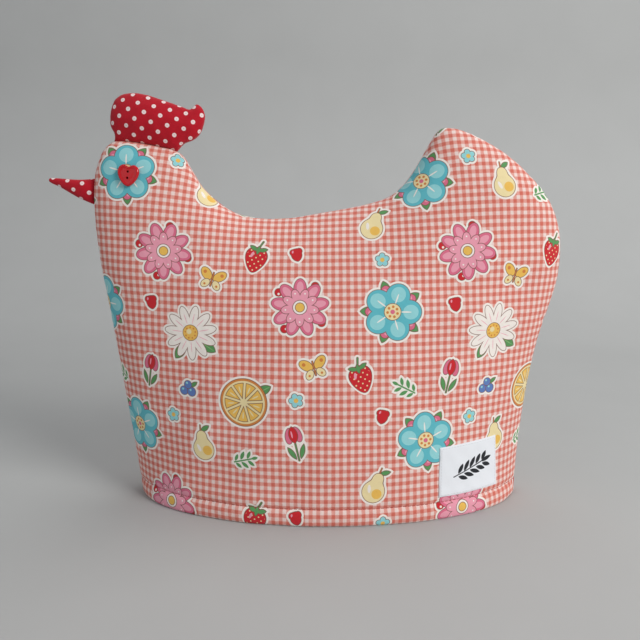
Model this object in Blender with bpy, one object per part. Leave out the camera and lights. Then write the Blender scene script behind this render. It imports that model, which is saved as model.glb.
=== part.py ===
"""A padded tea cosy in the shape of a hen: two panels, comb, beak, eye buttons and a sewn label.

The hen looks towards -X, the front panel is on the -Y side and the open hem stands on Z = 0.
Outlines are given in millimetres, in the plane of the seam: x from the middle of the hem, z above it.
"""

import math

import bmesh
import bpy
import numpy as np
from mathutils import Matrix, Vector
from mathutils.bvhtree import BVHTree
from mathutils.geometry import delaunay_2d_cdt

MM = 0.001

# Driving sizes in millimetres
CENTRE_X = 15.7             # puts the middle of the whole hen, beak included, over the origin
WALL = 5.5                  # thickness of a padded panel, and how far the seam allowance reaches in
PLAY = 0.3                  # gap between neighbouring pieces
HEM_HALF_LENGTH = 140.0     # the open hem is an oval, a little pointed at the side seams
HEM_HALF_WIDTH = 60.5
HEM_ROUNDNESS = 0.54        # 0.5 is an ellipse, 1 a lens
HEM_STITCH_Z = 12.0         # height of the top-stitching above the hem
STITCH_DEPTH = 0.8          # how far the top-stitching draws the cloth in
STITCH_SPREAD = 1.5         # half width of the trough that it makes
PADDING = 12.0              # how far the padding stands out away from the seams
PADDING_REACH = 8.0         # how far from a seam it has come up to about two thirds of that
PANEL_BULGE = 0.0052        # curvature of the panel's bulge above the hem, per millimetre
COMB_LOFT = 0.42            # (half thickness / half width) squared of a long stuffed piece
BEAK_LOFT = 0.80
BUTTON_WIDTH = 14.8
BUTTON_HEIGHT = 14.4
BUTTON_THICKNESS = 3.0
BUTTON_EDGE = 0.8           # rounding of the button's edges
BUTTON_HOLE_RADIUS = 0.9
BUTTON_HOLE_OFFSET = 2.1    # from the middle of the pair of holes to a hole's middle
BUTTON_HOLE_RISE = 0.4      # the pair sits a little above the button's middle
BUTTON_TURN = 5.0           # degrees that the button leans back over the head
BUTTON_SIDES = 48
LABEL_THICKNESS = 1.0
LABEL_LIFT = 0.4            # from the panel to the label's under side
LABEL_COLUMNS = 12
LABEL_ROWS = 9

# Mesh spacing in millimetres
SEAM_STEP = 8.0             # along a panel's seam
SEAM_RINGS = (0.6, 2.6, 6.0, 11.0)  # rows inside a panel's seam, closer where it rounds over
INNER_STEP = 14.0           # over the rest of a panel
TRIM_STEP = 3.2             # the same three for the comb and the beak
TRIM_RINGS = (0.4, 1.6, 3.8)
TRIM_INNER_STEP = 5.0
GROOVE_LINES = (-3.5, 0.0, 3.5)     # rows of points about the top-stitching
CURVE_STEPS = 24            # points on each span of a smooth curve before it is spaced evenly
ROW_CLEARANCE = 0.93        # a row keeps the points at least this share of its distance from the edge
LATTICE_CLEARANCE = 0.45    # lattice spacings between the lattice and other points
EXTRA_CLEARANCE = 2.0       # millimetres between extra points and the rows

# Seam of a panel: up the breast, over the head, the saddle and the tail, and down the rump
SEAM = (  # x, z
    (-140.0, 0.0), (-144.2, 35.0), (-149.2, 75.0), (-154.2, 115.0), (-158.4, 146.0), (-161.6, 168.0),
    (-163.6, 190.0), (-164.2, 211.0), (-162.7, 231.0), (-159.4, 242.4), (-155.0, 250.4), (-148.5, 255.6),
    (-137.2, 255.6), (-126.7, 254.2), (-116.3, 252.2), (-106.2, 249.8), (-101.0, 246.0), (-95.2, 236.4),
    (-88.5, 225.2), (-81.7, 218.2), (-74.9, 212.6), (-66.0, 207.4), (-54.0, 204.4), (-40.0, 203.4),
    (-28.0, 203.9), (-10.0, 206.6), (13.4, 210.7), (30.0, 214.3), (42.0, 218.6), (49.5, 224.2),
    (57.0, 233.4), (67.4, 251.2), (72.8, 260.6), (77.0, 264.4), (83.0, 264.8), (93.7, 262.2),
    (110.7, 254.2), (126.0, 244.4), (139.3, 232.6), (149.8, 221.4), (157.4, 208.6), (162.2, 194.0),
    (163.7, 177.0), (162.2, 158.0), (157.8, 141.0), (152.2, 121.0), (146.8, 92.0), (143.2, 62.0),
    (141.1, 34.0), (140.0, 0.0),
)
# Comb, round from the front end of its base to the back end; the base follows the head's seam
COMB = (  # x, z
    (-148.5, 256.0), (-147.4, 260.4), (-149.7, 265.0), (-150.0, 269.5), (-148.7, 277.0), (-146.2, 282.6),
    (-141.8, 286.0), (-134.0, 287.4), (-125.0, 286.3), (-110.0, 281.6), (-100.5, 278.4), (-95.3, 276.6),
    (-93.4, 277.9), (-91.5, 279.8), (-90.2, 280.2), (-89.0, 279.6), (-86.7, 277.2), (-85.4, 272.4),
    (-87.0, 265.1), (-89.7, 260.0), (-94.0, 256.6), (-100.3, 254.2), (-104.6, 250.2),
)
# Beak, from the low end of its base to the tip and back above; the base follows the head's seam
BEAK = (  # x, z
    (-164.5, 212.6), (-169.0, 214.6), (-176.0, 217.9), (-187.6, 224.7), (-194.9, 228.3), (-195.7, 229.7),
    (-194.6, 230.8), (-190.0, 230.9), (-182.2, 230.3), (-172.0, 229.9), (-163.2, 230.8),
)
EYE = (-135.6, 231.9)       # x, z of a button's middle
LABEL_CORNERS = (  # x, z on the front panel, round from the top left
    (74.8, 50.7), (117.1, 53.0), (119.3, 16.4), (74.5, 16.3),
)

# Materials: colour, roughness
CHECK_CLOTH = ((0.80, 0.36, 0.30), 0.85)
DOTTED_CLOTH = ((0.50, 0.01, 0.03), 0.80)
BUTTON_PLASTIC = ((0.60, 0.02, 0.03), 0.25)
LABEL_CLOTH = ((0.82, 0.83, 0.85), 0.80)


def clear_scene():
    """Remove the objects that a new file starts with."""
    for item in list(bpy.data.objects):
        bpy.data.objects.remove(item, do_unlink=True)


def make_material(name, look):
    """Principled material of one colour."""
    colour, roughness = look
    material = bpy.data.materials.new(name)
    material.use_nodes = True
    shader = material.node_tree.nodes["Principled BSDF"]
    shader.inputs["Base Color"].default_value = (*colour, 1.0)
    shader.inputs["Roughness"].default_value = roughness
    shader.inputs["Metallic"].default_value = 0.0
    return material


def to_world(points):
    """Millimetres from the middle of the hem to metres in the hen's frame."""
    return (np.asarray(points, dtype=float) + (CENTRE_X, 0.0, 0.0)) * MM


def make_object(name, vertices, faces, material, smooth=40.0):
    """Object from millimetre vertices, with outward faces and smooth shading."""
    mesh = bpy.data.meshes.new(name)
    mesh.from_pydata(to_world(vertices).tolist(), [], [[int(index) for index in face] for face in faces])
    work = bmesh.new()
    work.from_mesh(mesh)
    bmesh.ops.recalc_face_normals(work, faces=work.faces)
    work.to_mesh(mesh)
    work.free()
    mesh.shade_smooth()
    mesh.set_sharp_from_angle(angle=math.radians(smooth))
    mesh.materials.append(material)
    item = bpy.data.objects.new(name, mesh)
    bpy.context.scene.collection.objects.link(item)
    return item


def smooth_line(anchors, step):
    """Evenly spaced points on a smooth curve through the anchors, both ends kept."""
    anchors = np.asarray(anchors, dtype=float)
    ends = (2 * anchors[0] - anchors[1], 2 * anchors[-1] - anchors[-2])
    line = np.vstack((ends[0], anchors, ends[1]))
    knots = np.concatenate(([0.0], np.cumsum(np.sqrt(np.linalg.norm(np.diff(line, axis=0), axis=1)))))
    curve = []
    for span in range(1, len(line) - 2):
        before, start, end, after = knots[span - 1:span + 3]
        slope_in = (end - start) * tangent(line[span - 1:span + 2], (before, start, end))
        slope_out = (end - start) * tangent(line[span:span + 3], (start, end, after))
        for t in np.linspace(0.0, 1.0, CURVE_STEPS, endpoint=False):
            curve.append(hermite(line[span], line[span + 1], slope_in, slope_out, t))
    curve = np.vstack((curve, line[-2]))
    length = np.concatenate(([0.0], np.cumsum(np.linalg.norm(np.diff(curve, axis=0), axis=1))))
    stations = np.linspace(0.0, length[-1], max(2, round(length[-1] / step)) + 1)
    return np.column_stack([np.interp(stations, length, curve[:, axis]) for axis in (0, 1)])


def tangent(three, knots):
    """Slope at the middle one of three unevenly spaced points."""
    first, second = knots[1] - knots[0], knots[2] - knots[1]
    left, right = (three[1] - three[0]) / first, (three[2] - three[1]) / second
    return (left * second + right * first) / (first + second)


def hermite(start, end, slope_in, slope_out, t):
    """Point at t on the cubic between two points with the given end slopes."""
    keep = (1 + 2 * t) * (1 - t) ** 2
    return keep * start + (1 - keep) * end + t * (1 - t) ** 2 * slope_in - t * t * (1 - t) * slope_out


def left_normals(line):
    """Unit normals of an open or closed line, on the left of its direction."""
    along = np.gradient(line, axis=0)
    along /= np.linalg.norm(along, axis=1)[:, None]
    return np.column_stack((-along[:, 1], along[:, 0]))


def distance_to(points, line):
    """Shortest distance from each point to an open line of segments."""
    start, run = line[:-1], np.diff(line, axis=0)
    offset = points[:, None, :] - start[None]
    share = np.clip((offset * run).sum(2) / (run ** 2).sum(1), 0.0, 1.0)
    return np.linalg.norm(offset - share[..., None] * run, axis=2).min(1)


def inside(points, outline):
    """True for each point that lies within a closed outline."""
    x, z = points[:, 0, None], points[:, 1, None]
    (x1, z1), (x2, z2) = outline.T, np.roll(outline, -1, axis=0).T
    crossing = (z1 > z) != (z2 > z)
    rise = np.where(z2 == z1, 1.0, z2 - z1)
    return (crossing & (x < (x2 - x1) * (z - z1) / rise + x1)).sum(1) % 2 == 1


def edge_rows(outline, rounded, rings):
    """Rows of points inside the rounded part of an outline, one for each ring that fits there."""
    edge = outline[:rounded]
    line = np.vstack((edge, edge[:1])) if rounded == len(outline) else edge
    right = -left_normals(line)[:rounded]
    if rounded == len(outline):
        right[0] = -left_normals(np.vstack((edge[-2:], edge[:3])))[2]
        right[-1] = -left_normals(np.vstack((edge[-3:], edge[:2])))[2]
    rows = []
    for ring in rings:
        row = edge + ring * right
        rows.append(row[(distance_to(row, line) > ROW_CLEARANCE * ring) & inside(row, outline)])
    return rows, line


def triangle_lattice(outline, step):
    """Points of an even triangular lattice over the outline's box."""
    low, high = outline.min(0), outline.max(0)
    row_height = step * math.sqrt(3) / 2
    lattice = []
    for number, z in enumerate(np.arange(low[1] + row_height / 2, high[1], row_height)):
        shift = step / 2 * (number % 2)
        lattice += [(x, z) for x in np.arange(low[0] + shift, high[0], step)]
    return np.array(lattice)


def fill_outline(outline, rounded, rings, inner_step, extra=()):
    """Triangulate an outline, with closer rows along the part of it that rounds over.

    outline: closed loop of points, clockwise; rounded: how many of its first points round over;
    extra: more points, with no lattice below them. Returns the points, outline first, and the triangles.
    """
    rows, line = edge_rows(outline, rounded, rings)
    rows.insert(0, outline)
    lattice = triangle_lattice(outline, inner_step)
    gap = LATTICE_CLEARANCE * inner_step
    clear = distance_to(lattice, np.vstack((outline, outline[:1]))) > gap
    clear &= inside(lattice, outline) & (distance_to(lattice, line) > rings[-1] + gap)
    if len(extra):
        clear &= lattice[:, 1] > extra[:, 1].max() + gap
        rows.append(extra[(distance_to(extra, line) > rings[-1] + EXTRA_CLEARANCE) & inside(extra, outline)])
    points = np.vstack(rows + [lattice[clear]])
    count = len(outline)
    border = [(index, (index + 1) % count) for index in range(count)]
    result = delaunay_2d_cdt([Vector(point) for point in points], border, [list(range(count))], 1, 1e-6)
    return points, np.array(result[2])


class Film:
    """A stretched film over a flat mesh, held at its outline."""

    def __init__(self, points, triangles):
        count = len(points)
        self.matrix = np.zeros((count, count))
        self.area = np.zeros(count)
        for turn in range(3):
            here, ahead, behind = (triangles[:, (turn + step) % 3] for step in range(3))
            one, other = points[ahead] - points[here], points[behind] - points[here]
            doubled = np.abs(one[:, 0] * other[:, 1] - one[:, 1] * other[:, 0])
            weight = 0.5 * (one * other).sum(1) / doubled
            for row, column in ((ahead, behind), (behind, ahead)):
                np.add.at(self.matrix, (row, column), -weight)
                np.add.at(self.matrix, (row, row), weight)
            np.add.at(self.area, here, doubled / 6)

    def settle(self, held, load=0.0):
        """Heights of the film under an even load, where the first points are held at given heights."""
        fixed = len(held)
        pull = load * self.area[fixed:] - self.matrix[fixed:, :fixed] @ held
        return np.concatenate((held, np.linalg.solve(self.matrix[fixed:, fixed:], pull)))


def hem_depth(x):
    """Half width of the hem oval at x."""
    return HEM_HALF_WIDTH * np.clip(1 - (x / HEM_HALF_LENGTH) ** 2, 0.0, None) ** HEM_ROUNDNESS


def panel_outline():
    """Outline of a panel, the seam first and then the hem, and how many points the seam has."""
    seam = smooth_line(SEAM, SEAM_STEP)
    reach = np.concatenate((SEAM_RINGS, np.linspace(SEAM_RINGS[-1], HEM_HALF_LENGTH, 11)[1:-1]))
    middle = 0.5 * (seam[-1, 0] + seam[0, 0])
    half = 0.5 * (seam[-1, 0] - seam[0, 0])
    right = middle + half - reach * half / HEM_HALF_LENGTH
    hem = np.concatenate((right, (middle,), 2 * middle - right[::-1]))
    return np.vstack((seam, np.column_stack((hem, np.zeros_like(hem))))), len(seam)


def shape_panel():
    """Outer and inner surface of the front panel, as rows of x, y and z, with its triangles.

    The first points lie on the outline, and how many do is returned last.
    """
    outline, seam_count = panel_outline()
    hem = outline[seam_count:]
    groove_rows = [hem + (0.0, HEM_STITCH_Z + lift) for lift in GROOVE_LINES]
    points, triangles = fill_outline(outline, seam_count, SEAM_RINGS, INNER_STEP, np.vstack(groove_rows))
    film = Film(points, triangles)

    padding = PADDING * np.sqrt(1 - np.exp(-distance_to(points, outline[:seam_count]) / PADDING_REACH))
    padding[:seam_count] = 0.0
    rim = np.clip(hem_depth(hem[:, 0]) - padding[seam_count:len(outline)], 0.0, None)
    depth = padding + film.settle(np.concatenate((np.zeros(seam_count), rim)), PANEL_BULGE)
    groove = np.exp(-((points[:, 1] - HEM_STITCH_Z) / STITCH_SPREAD) ** 2)
    groove *= np.clip(depth / PADDING, 0.0, 1.0)
    outer = np.column_stack((points[:, 0], -PLAY / 2 - depth + STITCH_DEPTH * groove, points[:, 1]))

    turned_in = -WALL * left_normals(outline[:seam_count])
    turned_in[[0, -1]] = ((WALL, 0.0), (-WALL, 0.0))
    shift_x = film.settle(np.concatenate((turned_in[:, 0], -WALL * hem[:, 0] / HEM_HALF_LENGTH)))
    shift_z = film.settle(np.concatenate((turned_in[:, 1], np.zeros(len(hem)))))
    hollow = depth - WALL * (1 - np.exp(-depth / WALL))
    inner = np.column_stack((points[:, 0] + shift_x, -PLAY / 2 - hollow, points[:, 1] + shift_z))
    return outer, inner, triangles, len(outline)


def build_panel(name, side, material):
    """One padded panel; side is -1 for the front one and 1 for the back one."""
    outer, inner, triangles, border = shape_panel()
    count = len(outer)
    faces = [*triangles, *(triangles[:, ::-1] + count)]
    for index in range(border):
        after = (index + 1) % border
        faces.append((index, after, after + count, index + count))
    vertices = np.vstack((outer, inner)) * (1.0, -side, 1.0)
    return make_object(name, vertices, faces, material)


def build_stuffed(name, anchors, base, loft, material):
    """Stuffed piece of two layers: anchors go round its free edge, base is the line that it is held along."""
    free = smooth_line((base[-1], *anchors[1:-1], base[0]), TRIM_STEP)
    outline = np.vstack((free, base[1:-1]))
    points, triangles = fill_outline(outline, len(outline), TRIM_RINGS, TRIM_INNER_STEP)
    border, count = len(outline), len(points)
    depth = np.sqrt(Film(points, triangles).settle(np.zeros(border), 2 * loft))
    front = np.column_stack((points[:, 0], -depth, points[:, 1]))
    back = front[border:] * (1.0, -1.0, 1.0)
    turned = np.where(triangles < border, triangles, triangles + count - border)[:, ::-1]
    return make_object(name, np.vstack((front, back)), np.vstack((triangles, turned)), material, 60.0)


def along_seam(start, end):
    """Line just outside the panels' seam, from the place nearest to one point to that nearest to another."""
    seam = smooth_line(SEAM, SEAM_STEP)
    seam = seam + PLAY * left_normals(seam)
    length = np.concatenate(([0.0], np.cumsum(np.linalg.norm(np.diff(seam, axis=0), axis=1))))
    stations = np.linspace(0.0, length[-1], 2000)
    fine = np.column_stack([np.interp(stations, length, seam[:, axis]) for axis in (0, 1)])
    first, last = (int(np.argmin(np.linalg.norm(fine - point, axis=1))) for point in (start, end))
    count = round((stations[last] - stations[first]) / TRIM_STEP)
    return fine[np.linspace(first, last, count + 1).round().astype(int)]


def surface_of(panel):
    """Search tree over a panel's faces."""
    return BVHTree.FromObject(panel, bpy.context.evaluated_depsgraph_get())


def on_surface(tree, x, z, side):
    """Point and outward normal of a panel where a line along Y first meets it; x and z in millimetres."""
    start = Vector(((x + CENTRE_X) * MM, side * 3 * HEM_HALF_WIDTH * MM, z * MM))
    place, normal, _, _ = tree.ray_cast(start, Vector((0.0, -side, 0.0)))
    return place / MM - Vector((CENTRE_X, 0.0, 0.0)), normal


def heart_outline(count, inset):
    """Heart of the button's size, drawn in by an inset; the middle of its box is the origin."""
    turn = np.linspace(0.0, 2 * math.pi, count, endpoint=False)
    x = 7.4 * np.sin(turn) * (0.97 + 0.31 * np.cos(turn))
    z = 7.2 * np.cos(turn) - 2.1 * np.exp(-((x / 2.6) ** 2)) * (np.cos(turn) > 0)
    x *= (BUTTON_WIDTH - 2 * inset) / (x.max() - x.min())
    z = (z - 0.5 * (z.max() + z.min())) * (BUTTON_HEIGHT - 2 * inset) / (z.max() - z.min())
    return np.column_stack((x, z))


def button_frame(tree, side):
    """Seat of a button on a panel, and the frame whose columns run across, out of and up it."""
    place, normal = on_surface(tree, *EYE, side)
    out = normal.normalized()
    across = Vector((0.0, 0.0, 1.0)).cross(out).normalized()
    frame = Matrix((across, out, out.cross(across))).transposed()
    lean = Matrix.Rotation(math.radians(BUTTON_TURN * side), 3, out)
    return place + out * PLAY, lean @ frame


def add_hole_cutter(name, middle, out):
    """Guide cylinder of a thread hole."""
    length = 3 * BUTTON_THICKNESS
    bpy.ops.mesh.primitive_cylinder_add(vertices=16, radius=BUTTON_HOLE_RADIUS * MM, depth=length * MM)
    cutter = bpy.context.object
    turned = out.to_track_quat("Z", "Y").to_matrix().to_4x4()
    cutter.matrix_world = Matrix.Translation(to_world(middle)) @ turned
    cutter.name = name
    cutter.hide_render = True
    cutter.display_type = "WIRE"
    return cutter


def build_button(name, tree, side, material):
    """Heart-shaped button with two holes, lying on a panel."""
    levels = (  # height, inset
        (0.0, BUTTON_EDGE / 2),
        (BUTTON_EDGE / 2, 0.0),
        (BUTTON_THICKNESS - BUTTON_EDGE, 0.0),
        (BUTTON_THICKNESS - 0.25 * BUTTON_EDGE, 0.35 * BUTTON_EDGE),
        (BUTTON_THICKNESS, BUTTON_EDGE),
    )
    count, top = BUTTON_SIDES, (len(levels) - 1) * BUTTON_SIDES
    rows = [np.insert(heart_outline(count, inset), 1, height, axis=1) for height, inset in levels]
    faces = [tuple(range(count)), tuple(range(top, top + count))]
    for start in range(0, top, count):
        for index in range(count):
            here, after = start + index, start + (index + 1) % count
            faces.append((here, after, after + count, here + count))

    seat, frame = button_frame(tree, side)
    vertices = [tuple(seat + frame @ Vector(point)) for point in np.vstack(rows)]
    button = make_object(name, vertices, faces, material, 35.0)
    for place, offset in (("upper", BUTTON_HOLE_OFFSET), ("lower", -BUTTON_HOLE_OFFSET)):
        middle = seat + frame @ Vector((0.0, BUTTON_THICKNESS / 2, offset + BUTTON_HOLE_RISE))
        hole = button.modifiers.new(f"{place}_hole", "BOOLEAN")
        hole.operation = "DIFFERENCE"
        hole.object = add_hole_cutter(f"{name}_{place}_cutter", middle, frame.col[1])
    return button


def build_label(tree, material):
    """Small cloth rectangle that follows the front panel."""
    top_left, top_right, low_right, low_left = (np.array(corner) for corner in LABEL_CORNERS)
    under, over = [], []
    for v in np.linspace(0.0, 1.0, LABEL_ROWS + 1):
        left, right = (1 - v) * low_left + v * top_left, (1 - v) * low_right + v * top_right
        for u in np.linspace(0.0, 1.0, LABEL_COLUMNS + 1):
            place, normal = on_surface(tree, *((1 - u) * left + u * right), -1)
            under.append(tuple(place + normal * LABEL_LIFT))
            over.append(tuple(place + normal * (LABEL_LIFT + LABEL_THICKNESS)))
    wide, count = LABEL_COLUMNS + 1, len(under)
    cells = [
        (corner, corner + 1, corner + wide + 1, corner + wide)
        for row in range(LABEL_ROWS)
        for corner in range(row * wide, row * wide + LABEL_COLUMNS)
    ]
    faces = [cell[::-1] for cell in cells] + [tuple(index + count for index in cell) for cell in cells]
    grid = np.arange(count).reshape(LABEL_ROWS + 1, wide)
    rim = [*grid[0], *grid[1:, -1], *grid[-1, -2::-1], *grid[-2:0:-1, 0]]
    for here, after in zip(rim, rim[1:] + rim[:1]):
        faces.append((here, after, after + count, here + count))
    return make_object("label", under + over, faces, material)


def main():
    """Build the cosy."""
    clear_scene()
    checked = make_material("checked_cotton", CHECK_CLOTH)
    dotted = make_material("dotted_cotton", DOTTED_CLOTH)
    plastic = make_material("button_plastic", BUTTON_PLASTIC)
    woven = make_material("label_tape", LABEL_CLOTH)

    front = build_panel("front_panel", -1, checked)
    back = build_panel("back_panel", 1, checked)
    build_stuffed("comb", COMB, along_seam(COMB[0], COMB[-1])[::-1], COMB_LOFT, dotted)
    build_stuffed("beak", BEAK, along_seam(BEAK[0], BEAK[-1])[::-1], BEAK_LOFT, dotted)
    bpy.context.view_layer.update()
    front_tree, back_tree = surface_of(front), surface_of(back)
    build_button("eye_button_front", front_tree, -1, plastic)
    build_button("eye_button_back", back_tree, 1, plastic)
    build_label(front_tree, woven)


main()
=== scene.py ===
"""Dress of a padded tea cosy in the shape of a hen.

Two gingham panels with a printed repeat of fruit and flowers, a stuffed comb and beak in dotted cotton, a
heart button for each eye, a sewn label and the thread that shows. Shapes are worked out in millimetres from
the middle of the hem, in the plane of the seam, and put into the frame in metres at the end.
"""

import logging
import math
from dataclasses import dataclass
from enum import Enum
from typing import Callable, Iterable, Sequence, Union

import bmesh
import bpy
import numpy as np
from mathutils import Matrix, Vector
from mathutils.bvhtree import BVHTree
from mathutils.geometry import delaunay_2d_cdt


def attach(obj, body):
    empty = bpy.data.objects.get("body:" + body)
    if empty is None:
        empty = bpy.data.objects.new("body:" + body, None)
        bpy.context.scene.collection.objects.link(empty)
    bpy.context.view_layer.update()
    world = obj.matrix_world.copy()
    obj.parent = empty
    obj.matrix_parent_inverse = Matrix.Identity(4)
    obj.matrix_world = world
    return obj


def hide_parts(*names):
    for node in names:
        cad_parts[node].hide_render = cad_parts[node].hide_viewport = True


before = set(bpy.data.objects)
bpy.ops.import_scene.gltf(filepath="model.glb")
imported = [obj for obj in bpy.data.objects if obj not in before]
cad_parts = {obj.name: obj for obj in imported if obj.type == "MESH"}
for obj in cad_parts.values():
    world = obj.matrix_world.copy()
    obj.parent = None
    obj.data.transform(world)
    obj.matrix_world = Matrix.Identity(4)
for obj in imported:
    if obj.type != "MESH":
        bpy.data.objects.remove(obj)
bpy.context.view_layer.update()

log = logging.getLogger("hen_cosy")

MM = 0.001
HEM_MIDDLE = (15.7, 0.0, 0.0)  # millimetres from the frame's origin to the middle of the hem
BODY = "root"

Colour = tuple[float, float, float]
Value = Union["Wire", float, int]
Place = tuple[Vector, Vector, Vector]

# Seam of a panel: up the breast, over the head, the saddle and the tail, and down the rump
SEAM = (  # x, z
    (-140.0, 0.0), (-144.2, 35.0), (-149.2, 75.0), (-154.2, 115.0), (-158.4, 146.0), (-161.6, 168.0),
    (-163.6, 190.0), (-164.2, 211.0), (-162.7, 231.0), (-159.4, 242.4), (-155.0, 250.4), (-148.5, 255.6),
    (-137.2, 255.6), (-126.7, 254.2), (-116.3, 252.2), (-106.2, 249.8), (-101.0, 246.0), (-95.2, 236.4),
    (-88.5, 225.2), (-81.7, 218.2), (-74.9, 212.6), (-66.0, 207.4), (-54.0, 204.4), (-40.0, 203.4),
    (-28.0, 203.9), (-10.0, 206.6), (13.4, 210.7), (30.0, 214.3), (42.0, 218.6), (49.5, 224.2),
    (57.0, 233.4), (67.4, 251.2), (72.8, 260.6), (77.0, 264.4), (83.0, 264.8), (93.7, 262.2),
    (110.7, 254.2), (126.0, 244.4), (139.3, 232.6), (149.8, 221.4), (157.4, 208.6), (162.2, 194.0),
    (163.7, 177.0), (162.2, 158.0), (157.8, 141.0), (152.2, 121.0), (146.8, 92.0), (143.2, 62.0),
    (141.1, 34.0), (140.0, 0.0),
)
# Comb, round from the front end of its base to the back end; the base follows the head's seam
COMB = (  # x, z
    (-148.5, 256.0), (-147.4, 260.4), (-149.7, 265.0), (-150.0, 269.5), (-148.7, 277.0), (-146.2, 282.6),
    (-141.8, 286.0), (-134.0, 287.4), (-125.0, 286.3), (-110.0, 281.6), (-100.5, 278.4), (-95.3, 276.6),
    (-93.4, 277.9), (-91.5, 279.8), (-90.2, 280.2), (-89.0, 279.6), (-86.7, 277.2), (-85.4, 272.4),
    (-87.0, 265.1), (-89.7, 260.0), (-94.0, 256.6), (-100.3, 254.2), (-104.6, 250.2),
)
# Beak, from the low end of its base to the tip and back above; the base follows the head's seam
BEAK = (  # x, z
    (-164.5, 212.6), (-169.0, 214.6), (-176.0, 217.9), (-187.6, 224.7), (-194.9, 228.3), (-195.7, 229.7),
    (-194.6, 230.8), (-190.0, 230.9), (-182.2, 230.3), (-172.0, 229.9), (-163.2, 230.8),
)
SEAM_STEP = 2.4        # millimetres between the points of the panels' seam
SEAM_INSET = 0.5       # of the panels' seam from the CAD's, which leaves room for the lip of the padding
CURVE_POINTS = 24      # on each span of a smooth curve before it is spaced evenly
BLOCK = 2000           # points whose nearest places are sought at a time
CENTRE_PLANE = 0.02    # a panel's distance from the plane of the seam, at least
OUTSIDE = 200.0        # millimetres from that plane, clear of every piece

# Lines


def smooth_line(anchors: Sequence[Sequence[float]], step: float) -> np.ndarray:
    """Evenly spaced points on a smooth curve through anchors.

    Args:
        anchors: Points of the line, both ends kept.
        step: Spacing of the new points.

    Returns:
        One row of x and z for each new point.
    """
    given = np.asarray(anchors, dtype=float)
    line = np.vstack((2 * given[0] - given[1], given, 2 * given[-1] - given[-2]))
    runs = np.diff(line, axis=0)
    widths = np.diff(np.concatenate(([0.0], np.cumsum(np.sqrt(np.linalg.norm(runs, axis=1))))))[:, None]
    rates = runs / widths
    slopes = (rates[:-1] * widths[1:] + rates[1:] * widths[:-1]) / (widths[:-1] + widths[1:])
    t = np.linspace(0.0, 1.0, CURVE_POINTS, endpoint=False)[:, None]
    keep = (1 + 2 * t) * (1 - t) ** 2
    leave, arrive = t * (1 - t) ** 2, t * t * (1 - t)
    curve = [keep * line[span] + (1 - keep) * line[span + 1]
             + widths[span] * (leave * slopes[span - 1] - arrive * slopes[span])
             for span in range(1, len(line) - 2)]
    return even_line(np.vstack((*curve, line[-2])), step)


def lengths_along(line: np.ndarray) -> np.ndarray:
    """Distance of each point of a line from its first one, along the line."""
    return np.concatenate(([0.0], np.cumsum(np.linalg.norm(np.diff(line, axis=0), axis=1))))


def even_line(line: np.ndarray, step: float) -> np.ndarray:
    """The same line with its points spaced evenly.

    Args:
        line: Points of the line, in rows.
        step: Wanted spacing.

    Returns:
        The new points, in rows.
    """
    length = lengths_along(line)
    stations = np.linspace(0.0, length[-1], max(2, round(length[-1] / step)) + 1)
    return np.column_stack([np.interp(stations, length, line[:, axis]) for axis in range(line.shape[1])])


def left_normals(line: np.ndarray) -> np.ndarray:
    """Unit normals of a line, on the left of its direction.

    Args:
        line: Points of the line, in rows.

    Returns:
        One normal for each point, in rows.
    """
    along = np.gradient(line, axis=0)
    along /= np.linalg.norm(along, axis=1)[:, None]
    return np.column_stack((-along[:, 1], along[:, 0]))


def nearest_on(points: np.ndarray, line: np.ndarray) -> tuple[np.ndarray, np.ndarray]:
    """Nearest place on a line for each point.

    Args:
        points: Rows of x and z.
        line: Points of an open line, in rows.

    Returns:
        The distance to the line, and how far along the line the nearest place is.
    """
    start, run = line[:-1], np.diff(line, axis=0)
    size, length = (run**2).sum(1), lengths_along(line)
    away, along = np.empty(len(points)), np.empty(len(points))
    for first in range(0, len(points), BLOCK):
        block = slice(first, first + BLOCK)
        offset = points[block, None, :] - start[None]
        share = np.clip((offset * run).sum(2) / size, 0.0, 1.0)
        gap = np.linalg.norm(offset - share[..., None] * run, axis=2)
        best = gap.argmin(1)
        rows = np.arange(len(best))
        away[block] = gap[rows, best]
        along[block] = length[best] + share[rows, best] * np.sqrt(size[best])
    return away, along


def inside(points: np.ndarray, outline: np.ndarray) -> np.ndarray:
    """Tell which points lie within a closed outline.

    Args:
        points: Rows of x and z.
        outline: Points of the outline, in rows.

    Returns:
        True for each point that lies inside.
    """
    x, z = points[:, 0, None], points[:, 1, None]
    (x1, z1), (x2, z2) = outline.T, np.roll(outline, -1, axis=0).T
    crossing = (z1 > z) != (z2 > z)
    rise = np.where(z2 == z1, 1.0, z2 - z1)
    return (crossing & (x < (x2 - x1) * (z - z1) / rise + x1)).sum(1) % 2 == 1


def panel_seam(away: float) -> np.ndarray:
    """The panels' seam line, moved outwards by a distance, with both ends on the hem's level.

    Args:
        away: The distance.

    Returns:
        Its points, in rows.
    """
    seam = smooth_line(SEAM, SEAM_STEP)
    seam = seam + away * left_normals(seam)
    seam[[0, -1], 1] = 0.0
    return seam


def waves(along: np.ndarray, lengths: Sequence[float], seed: int) -> np.ndarray:
    """Uneven waviness along a line, between about -1 and 1.

    Args:
        along: Places on the line.
        lengths: Wavelengths that are added up.
        seed: Picks the phases.

    Returns:
        The height at each place.
    """
    phases = np.random.default_rng(seed).uniform(0.0, 2 * math.pi, len(lengths))
    total = sum(np.sin(2 * math.pi * along / length + phase) for length, phase in zip(lengths, phases))
    return total / math.sqrt(len(lengths))


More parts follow.
